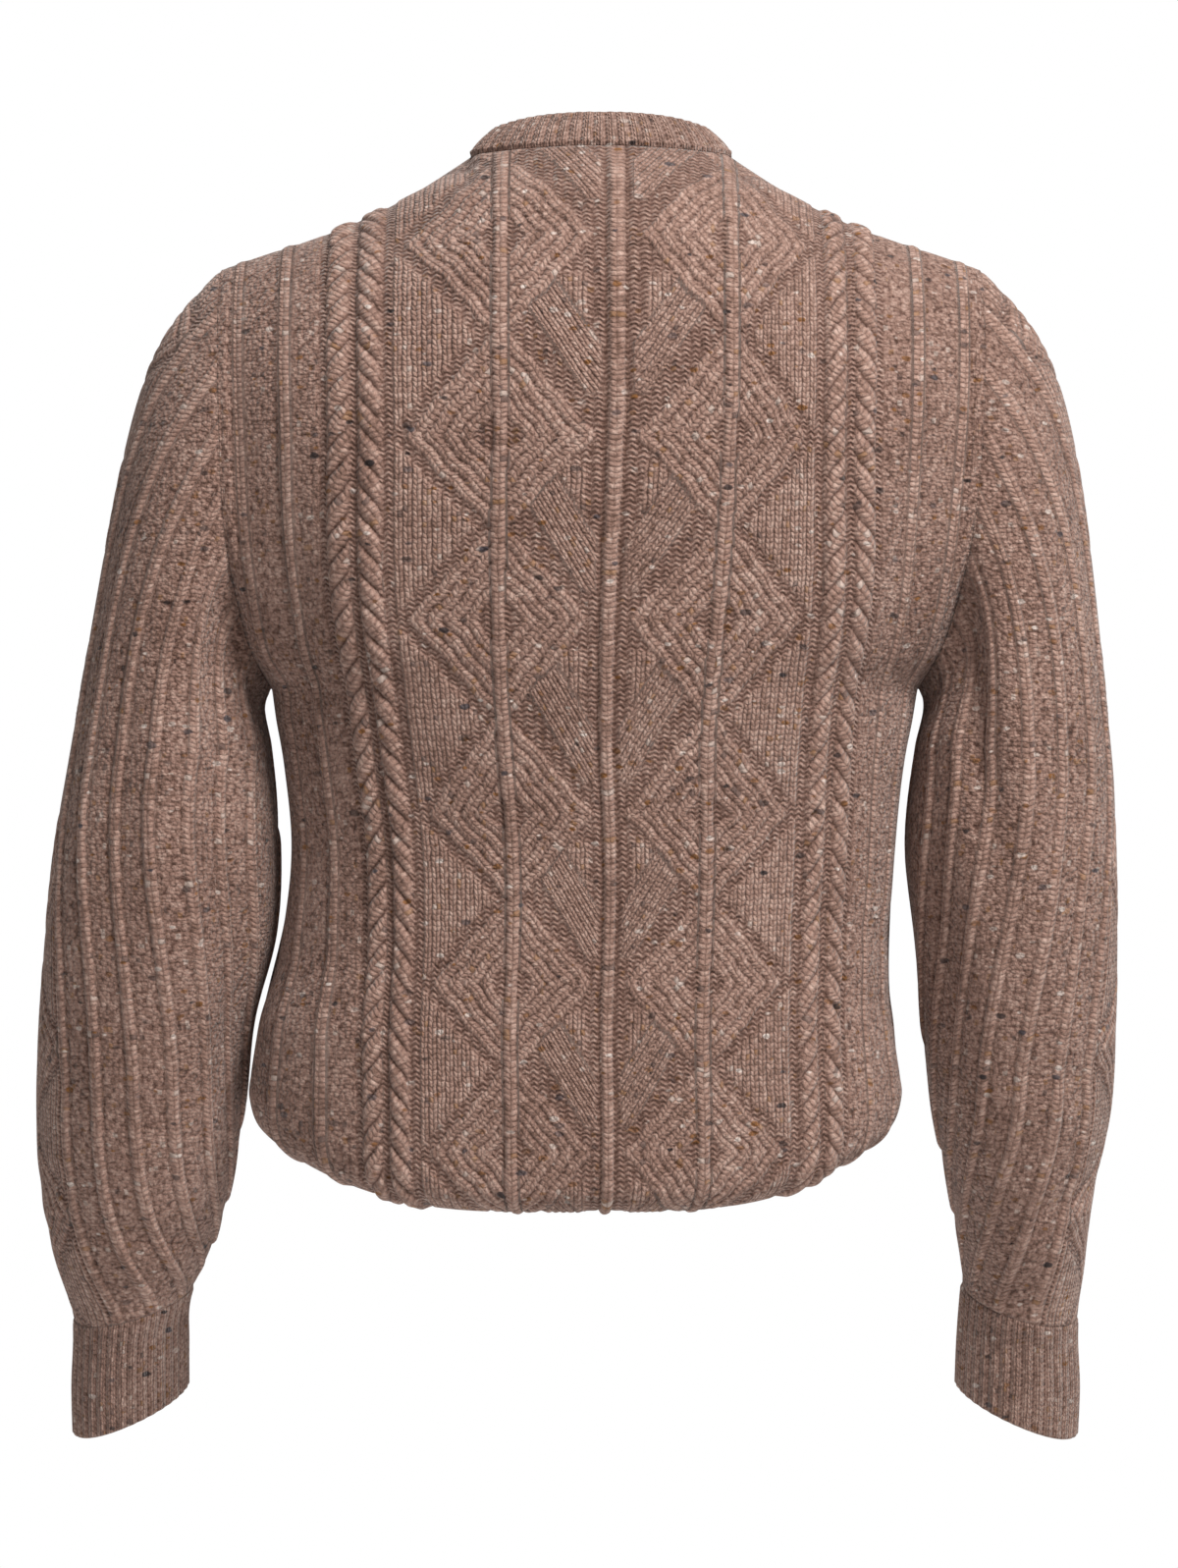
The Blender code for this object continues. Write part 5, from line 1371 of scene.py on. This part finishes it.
# %% Cuffs
CUFF_RIBS = 34
POINTS_PER_CUFF_RIB = 10
CUFF_ROWS = even_places(((0.0, 0.1, 0.02), (0.1, 0.95, 0.03), (0.95, 1.0, 0.008)))
for name, side, table, _ in SIDES:
    turn = np.linspace(0.0, 2 * np.pi, 721)
    # the ribs are spaced by real distance round the wrist, not by angle
    full = seam_shares(arm_ring(table, side, SLEEVE_END, turn[:-1]))
    places = np.linspace(0.0, 1.0, CUFF_RIBS * POINTS_PER_CUFF_RIB + 1)
    angles = np.interp(places, np.append(full, 1.0), turn)
    end_centre = arm_ring(table, side, CUFF_END, turn[:-1]).mean(axis=0)
    down_way = unit(end_centre - sleeve_ends[name][:-1].mean(axis=0))
    rings = np.array([arm_ring(table, side, SLEEVE_END + (CUFF_END - SLEEVE_END) * t, angles)
                      for t in CUFF_ROWS])
    normals = ring_normals(rings, side)
    gap = across_seam(np.broadcast_to(down_way, rings[0].shape), normals[0]) * SEAM_GAP
    rings = rings + gap * fading(len(rings), 3)
    pieces["cuff_" + name] = band("cuff_%s_rib" % name, rings, normals, CUFF_RIBS, BAND_WALL)

# %% Hem rib
HEM_RIB_HEIGHT = 0.055
HEM_RIBS = 150
POINTS_PER_HEM_RIB = 4
hem = np.concatenate([opened["back"][-1, ::-1], opened["front"][-1, 1:-1]])
hem_way = np.concatenate([back_normal[-1, ::-1], front_normal[-1, 1:-1]])
hem_share = seam_shares(hem)
places = np.linspace(0.0, 1.0, HEM_RIBS * POINTS_PER_HEM_RIB + 1)
UP = np.array([0.0, 0.0, 1.0])
hem_line = spread(hem, hem_share, places)
level_way = unit(spread(hem_way, hem_share, places) * np.array([1.0, 1.0, 0.0]))
hem_ways = unit(spread(hem_way, hem_share, places))
hem_rows = even_places(((0.0, 0.1, 0.05), (0.1, 1.0, 0.06)))
rings = np.array([hem_line + UP * (SEAM_GAP + HEM_RIB_HEIGHT * t) for t in hem_rows])
ways = np.array([unit(hem_ways + (level_way - hem_ways) * ease(t / 0.1)) for t in hem_rows])
pieces["hem_rib"] = band("hem_rib_band", rings, ways, HEM_RIBS, WALL, free_end=False)

# %% [markdown]
# ## The wool
#
# Tweed wool is spun from fibres of several browns, with small flecks of rust, near black, grey
# blue and cream. The material builds the yarn in three steps: the height of each stitch from
# the UV maps, the heathered colour, and a soft fuzzy sheen. Stitch height drives the bump and
# paints shade into the gaps, where less light gets in, and a little painted light on the stitch
# crowns; the painted level from the stitch plan darkens the grooves and lightens the raised forms.

# %% Node helpers
class Number:
    """A number that nodes work out, added and multiplied here as in plain code."""

    def __init__(self, nodes, socket):
        self.nodes = nodes
        self.socket = socket

    def __add__(self, other):
        return self.nodes.math("ADD", self, other)

    def __sub__(self, other):
        return self.nodes.math("SUBTRACT", self, other)

    def __rsub__(self, other):
        return self.nodes.math("SUBTRACT", other, self)

    def __mul__(self, other):
        return self.nodes.math("MULTIPLY", self, other)

    __radd__ = __add__
    __rmul__ = __mul__


class Nodes:
    """Short ways to add and join the nodes of one material."""

    def __init__(self, tree):
        self.tree = tree

    def add(self, kind, values=(), **settings):
        node = self.tree.nodes.new(kind)
        for name, value in settings.items():
            setattr(node, name, value)
        for socket, value in dict(values).items():
            self.put(node.inputs[socket], value)
        return node

    def put(self, socket, value):
        if isinstance(value, Number):
            value = value.socket
        if isinstance(value, bpy.types.NodeSocket):
            self.tree.links.new(value, socket)
        else:
            socket.default_value = value

    def number(self, node, output=0):
        return Number(self, node.outputs[output])

    def parts(self, colour):
        """The three numbers of a colour."""
        split = self.add("ShaderNodeSeparateColor", {"Color": colour})
        return [self.number(split, i) for i in range(3)]

    def math(self, operation, a, b=0.0, clamp=False):
        node = self.add("ShaderNodeMath", {0: a, 1: b}, operation=operation, use_clamp=clamp)
        return self.number(node)

    def vector(self, operation, a, b):
        return self.add("ShaderNodeVectorMath", {0: a, 1: b}, operation=operation).outputs[0]

    def mix(self, factor, a, b, blend="MIX"):
        node = self.add("ShaderNodeMix", {0: factor, 6: a, 7: b}, data_type="RGBA",
                        blend_type=blend)
        return node.outputs[2]

    def blend(self, factor, a, b):
        """a and b mixed as plain numbers."""
        return a + factor * (b - a)

    def ramp(self, value, stops):
        node = self.add("ShaderNodeValToRGB", {0: value})
        while len(node.color_ramp.elements) < len(stops):
            node.color_ramp.elements.new(0.5)
        for element, (place, colour) in zip(node.color_ramp.elements, stops):
            element.position = place
            element.color = colour
        return node.outputs[0]


# %% [markdown]
# Three patterns give the yarn its unevenness: noise for soft changes, cells for bumps and
# flecks, and a chance number that is the same all over one stitch.

# %% Patterns
def noise(n, place, scale, detail, rough=0.5):
    return n.add("ShaderNodeTexNoise", {"Vector": place, "Scale": scale, "Detail": detail,
                                        "Roughness": rough})


def cell_pattern(n, place, size, uneven):
    """A pattern of cells of a size in metres."""
    return n.add("ShaderNodeTexVoronoi", {"Vector": place, "Scale": 1 / size,
                                          "Randomness": uneven})


def chance(n, *values):
    """A random number and a random colour for each whole cell of a place."""
    cell = n.add("ShaderNodeCombineXYZ")
    for socket, value in zip(cell.inputs, values):
        n.put(socket, n.math("FLOOR", value))
    dice = n.add("ShaderNodeTexWhiteNoise", {"Vector": cell.outputs[0]}, noise_dimensions="3D")
    return n.number(dice, "Value"), dice.outputs["Color"]


# %% [markdown]
# A knit stitch is a V of two slanted legs. Across a stitch, each half swells like a bell; along
# it, the bell repeats every course, sheared so that the legs rise outwards. The purl side
# shows wavy bars instead, and moss stitch small round bumps.

# %% Stitch heights
TURN = 2 * np.pi
LEG_SLANT = 0.9          # how far a leg rises on its way outwards, in courses
LEG_FILL = 0.34          # the two legs meet at this height in the middle of a stitch
NUB = 0.0029             # size of a bump of moss stitch


def knit_height(n, u, v):
    """Legs of the knit stitches from a place in wales and courses."""
    x = n.math("ABSOLUTE", n.math("FRACT", u) - 0.5)
    leg = n.math("SINE", x * TURN) + n.math("SUBTRACT", 1.0, x * 4.0, clamp=True) * LEG_FILL
    t = n.math("FRACT", v + x * LEG_SLANT) * 2.0 - 1.0
    return leg * (0.36 + 0.64 * (1.0 - t * t))


def purl_height(n, u, v):
    """Short wavy bars, one to a stitch, uneven in size and out of step with each other."""
    step, _ = chance(n, u, 3.5, 0.5)
    x = (n.math("FRACT", u) - 0.5) * TURN
    arch, slant = n.math("COSINE", x), n.math("SINE", x)
    bar = v + arch * 0.15 + slant * 0.12 + step * 0.45
    size, _ = chance(n, u, bar + 0.5, 9.5)
    ridge = (0.5 + 0.5 * n.math("COSINE", bar * TURN)) * (0.62 + size * 0.50)
    return ridge * (0.76 + 0.36 * arch)


def moss_height(n, place, grain):
    """Small round bumps of uneven size, flatter than they are wide."""
    flat = n.vector("MULTIPLY", place, (1.0, 1.0, 1.35))
    bump = n.number(cell_pattern(n, flat, NUB, 0.75), "Distance")
    return 1.12 - bump * 1.30 + (grain - 0.5) * 0.7


# %% [markdown]
# Each stitch leg gets its own chance number, so the yarn's colour changes stitch by stitch, as
# heathered yarn does: soft patches, single legs, short lengths of yarn and fine fibres add up
# to one tone, and a ramp turns the tone into browns.

# %% Heather colour
YARN = ((0.34, (0.170, 0.094, 0.068, 1.0)), (0.51, (0.350, 0.212, 0.166, 1.0)),
        (0.70, (0.560, 0.390, 0.320, 1.0)))
LEG_TINTS = (
    # range of the chance that a single stitch leg takes the tint, and its colour
    (0.000, 0.016, (0.290, 0.145, 0.060, 1.0)),
    (0.016, 0.026, (0.560, 0.460, 0.400, 1.0)),
    (0.026, 0.034, (0.080, 0.055, 0.050, 1.0)),
)
TINT_SHARE = 0.60
ZONES = 31.0             # zones to a metre


def heather(n, place, leg_u, leg_v, fibre):
    """Colour of the yarn from the number of a stitch leg and from noise."""
    # a coarse zone number keeps mirrored and repeated forms from sharing their tints
    where = n.add("ShaderNodeSeparateXYZ", {"Vector": place})
    zone_x, zone_z = (n.math("FLOOR", n.number(where, i) * ZONES) for i in (0, 2))
    leg_chance, leg_colour = chance(n, leg_u, leg_v, zone_x * 13.0 + zone_z + 0.5)
    patch = n.number(noise(n, place, 26.0, 3.0))
    yarn = n.number(noise(n, place, 300.0, 3.0, 0.65))
    tone = yarn * 0.55 + fibre * 0.25 + patch * 0.20 + (n.parts(leg_colour)[1] - 0.5) * 0.14
    colour = n.ramp(tone, YARN)
    for low, high, tint in LEG_TINTS:
        above = n.math("GREATER_THAN", leg_chance, low)
        below = n.math("LESS_THAN", leg_chance, high)
        colour = n.mix(above * below * TINT_SHARE, colour, tint)
    return colour


# %% [markdown]
# Larger flecks are cells of a Voronoi pattern whose place is disturbed by noise, which makes
# them ragged instead of round.

# %% Flecks
FLECKS = (
    # colour, size of the cells in metres, share of the cells, seed offset
    ((0.235, 0.100, 0.032, 1.0), 0.0085, 0.170, (0.0, 0.0, 0.0)),
    ((0.040, 0.028, 0.028, 1.0), 0.0105, 0.075, (0.3, 0.1, 0.7)),
    ((0.640, 0.540, 0.480, 1.0), 0.0080, 0.100, (0.9, 0.4, 0.2)),
    ((0.080, 0.064, 0.070, 1.0), 0.0105, 0.040, (0.5, 0.8, 0.6)),
)
FLECK_RAGGED = (0.0034, 0.0034, 0.0022)


def flecked(n, place, colour):
    """The colour with small flecks of other yarn in it, each of its own size and strength."""
    ragged = n.vector("MULTIPLY", noise(n, place, 210.0, 2.0).outputs["Color"], FLECK_RAGGED)
    for fleck, size, share, offset in FLECKS:
        moved = n.vector("ADD", n.vector("ADD", place, offset), ragged)
        cells = cell_pattern(n, n.vector("MULTIPLY", moved, (1.0, 1.0, 1.7)), size, 1.0)
        pick, wide, strong = n.parts(cells.outputs["Color"])
        inside = 0.18 + wide * 0.20 - n.number(cells, "Distance")
        near = n.math("MULTIPLY", inside, 11.0, clamp=True) * (0.50 + strong * 0.50)
        colour = n.mix(n.math("LESS_THAN", pick, share) * near, colour, fleck)
    return colour


# %% Wool material
# painted shade and light from the stitch height: darker in the gaps between stitches, lighter than
# the yarn on the stitch crowns
PAINTED_GAP_SHADE_AND_CROWN_LIGHT = ((0.0, (0.40, 0.33, 0.31, 1.0)), (0.40, (0.88, 0.86, 0.85, 1.0)),
             (0.88, (1.14, 1.14, 1.14, 1.0)))
# painted shade and light from the level each point carries: darker in the grooves, lighter on the
# raised forms
PAINTED_GROOVE_SHADE_AND_RIDGE_LIGHT = ((0.0, (0.74, 0.70, 0.68, 1.0)), (0.28, (0.95, 0.94, 0.94, 1.0)),
                (0.9, (1.06, 1.06, 1.06, 1.0)))
WOOL_SURFACE = {"Roughness": 0.92, "Specular IOR Level": 0.2, "Sheen Weight": 0.30,
                "Sheen Roughness": 0.45, "Sheen Tint": (0.88, 0.83, 0.79, 1.0)}


def wool(name):
    material = bpy.data.materials.new(name)
    material.use_nodes = True
    n = Nodes(material.node_tree)
    shader = material.node_tree.nodes["Principled BSDF"]
    place = n.add("ShaderNodeTexCoord").outputs["Object"]
    kind = n.add("ShaderNodeAttribute", attribute_name="stitch")
    purl, moss, lean = n.parts(kind.outputs["Color"])

    def stitch_place(uv_name):
        uv = n.add("ShaderNodeUVMap", uv_map=uv_name).outputs[0]
        split = n.add("ShaderNodeSeparateXYZ", {"Vector": uv})
        return n.number(split, 0), n.number(split, 1)

    u, v = stitch_place("knit")
    lean_u, lean_v = stitch_place("lean")
    # the yarn never lies quite even
    wobble_u, wobble_v, _ = n.parts(noise(n, place, 150.0, 3.0, 0.6).outputs["Color"])
    shift_u = (wobble_u - 0.5) * 0.50
    shift_v = (wobble_v - 0.5) * 1.10
    u, v = u + shift_u, v + shift_v
    lean_u, lean_v = lean_u + shift_u * 0.5, lean_v + shift_v
    grain = n.number(noise(n, place, 520.0, 2.0, 0.6))
    fibre = n.number(noise(n, place, 1100.0, 3.0, 0.7))
    height = n.blend(lean, knit_height(n, u, v), knit_height(n, lean_u, lean_v))
    height = n.blend(purl, height, purl_height(n, u, v))
    height = n.blend(moss, height, moss_height(n, place, grain))
    height = height + (fibre - 0.5) * 0.45 + (grain - 0.5) * 0.45

    leg_u = n.blend(lean, u * 2.0, lean_u * 2.0 + 40.0)
    leg_v = n.blend(lean, v, lean_v) + 0.25
    colour = flecked(n, place, heather(n, place, leg_u, leg_v, fibre))
    # painted shade in the gaps between stitches and between ridges, where less light reaches, and
    # painted light on the stitch crowns
    colour = n.mix(1.0, colour, n.ramp(height, PAINTED_GAP_SHADE_AND_CROWN_LIGHT), "MULTIPLY")
    # the level in the stitch colour's fourth number paints shade into the grooves and light onto the
    # raised forms
    level = kind.outputs["Alpha"]
    colour = n.mix(1.0, colour, n.ramp(level, PAINTED_GROOVE_SHADE_AND_RIDGE_LIGHT), "MULTIPLY")
    n.put(shader.inputs["Base Color"], colour)
    bump = n.add("ShaderNodeBump", {"Height": height, "Distance": 0.0014, "Strength": 0.9})
    n.put(shader.inputs["Normal"], bump.outputs[0])
    for socket, value in WOOL_SURFACE.items():
        shader.inputs[socket].default_value = value
    print(name, "has", len(material.node_tree.nodes), "nodes")
    return material


tweed = wool("tweed_wool")
for piece in pieces.values():
    piece.data.materials.append(tweed)

# %% [markdown]
# ## Floor and light
#
# A pale round floor far below and a white surround stand for a plain studio. The surround
# lights the wool much less than it shows. A large soft light above and to the right of the
# back models the ridges, a very weak one fills its shadows, and another lights the front.

# %% Floor
FLOOR_HEIGHT = -1.35
FLOOR_RADIUS = 1.7
floor_made = bmesh.new()
bmesh.ops.create_circle(floor_made, cap_ends=True, segments=96, radius=FLOOR_RADIUS)
floor_mesh = bpy.data.meshes.new("floor")
floor_made.to_mesh(floor_mesh)
floor_made.free()
for point in floor_mesh.vertices:
    point.co.z = FLOOR_HEIGHT
floor = bpy.data.objects.new("floor", floor_mesh)
bpy.context.scene.collection.objects.link(floor)
pale = bpy.data.materials.new("pale_floor")
pale.use_nodes = True
pale_shader = pale.node_tree.nodes["Principled BSDF"]
pale_shader.inputs["Base Color"].default_value = (0.92, 0.92, 0.92, 1.0)
pale_shader.inputs["Roughness"].default_value = 0.9
floor.data.materials.append(pale)

# %% Lights
AMBIENT = 0.28           # strength at which the white surround lights the wool


def soft_light(name, place, aim, size, power):
    lamp = bpy.data.lights.new(name, "AREA")
    lamp.size = size
    lamp.energy = power
    item = bpy.data.objects.new(name, lamp)
    item.location = place
    item.rotation_euler = (Vector(aim) - Vector(place)).to_track_quat("-Z", "Y").to_euler()
    bpy.context.scene.collection.objects.link(item)
    print(name, "light:", power, "W,", size, "m square")


soft_light("key", (-1.30, 1.75, 1.95), (0.0, 0.0, -0.20), 1.0, 114.0)
soft_light("fill", (1.5, 1.9, 0.3), (0.0, 0.0, -0.35), 1.4, 1.5)
soft_light("front", (0.5, -2.2, 0.9), (0.0, 0.0, -0.3), 1.6, 36.0)
world = bpy.data.worlds.new("studio")
world.use_nodes = True
surround = Nodes(world.node_tree)
backdrop = world.node_tree.nodes["Background"]
backdrop.inputs[0].default_value = (1.0, 1.0, 1.0, 1.0)
# the surround looks white, and lights the wool with a part of that strength
seen = surround.number(surround.add("ShaderNodeLightPath"), "Is Camera Ray")
surround.put(backdrop.inputs[1], AMBIENT + seen * (1.0 - AMBIENT))
bpy.context.scene.world = world
bpy.context.scene.view_settings.view_transform = "Standard"

# %% [markdown]
# ## Attaching the pieces
#
# Every piece moves with the garment, stands for one solid and takes its finish from the wool slot.


for node, piece in pieces.items():
    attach(piece, "root")
    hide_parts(node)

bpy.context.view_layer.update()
print("made in", round(time.time() - started), "s")
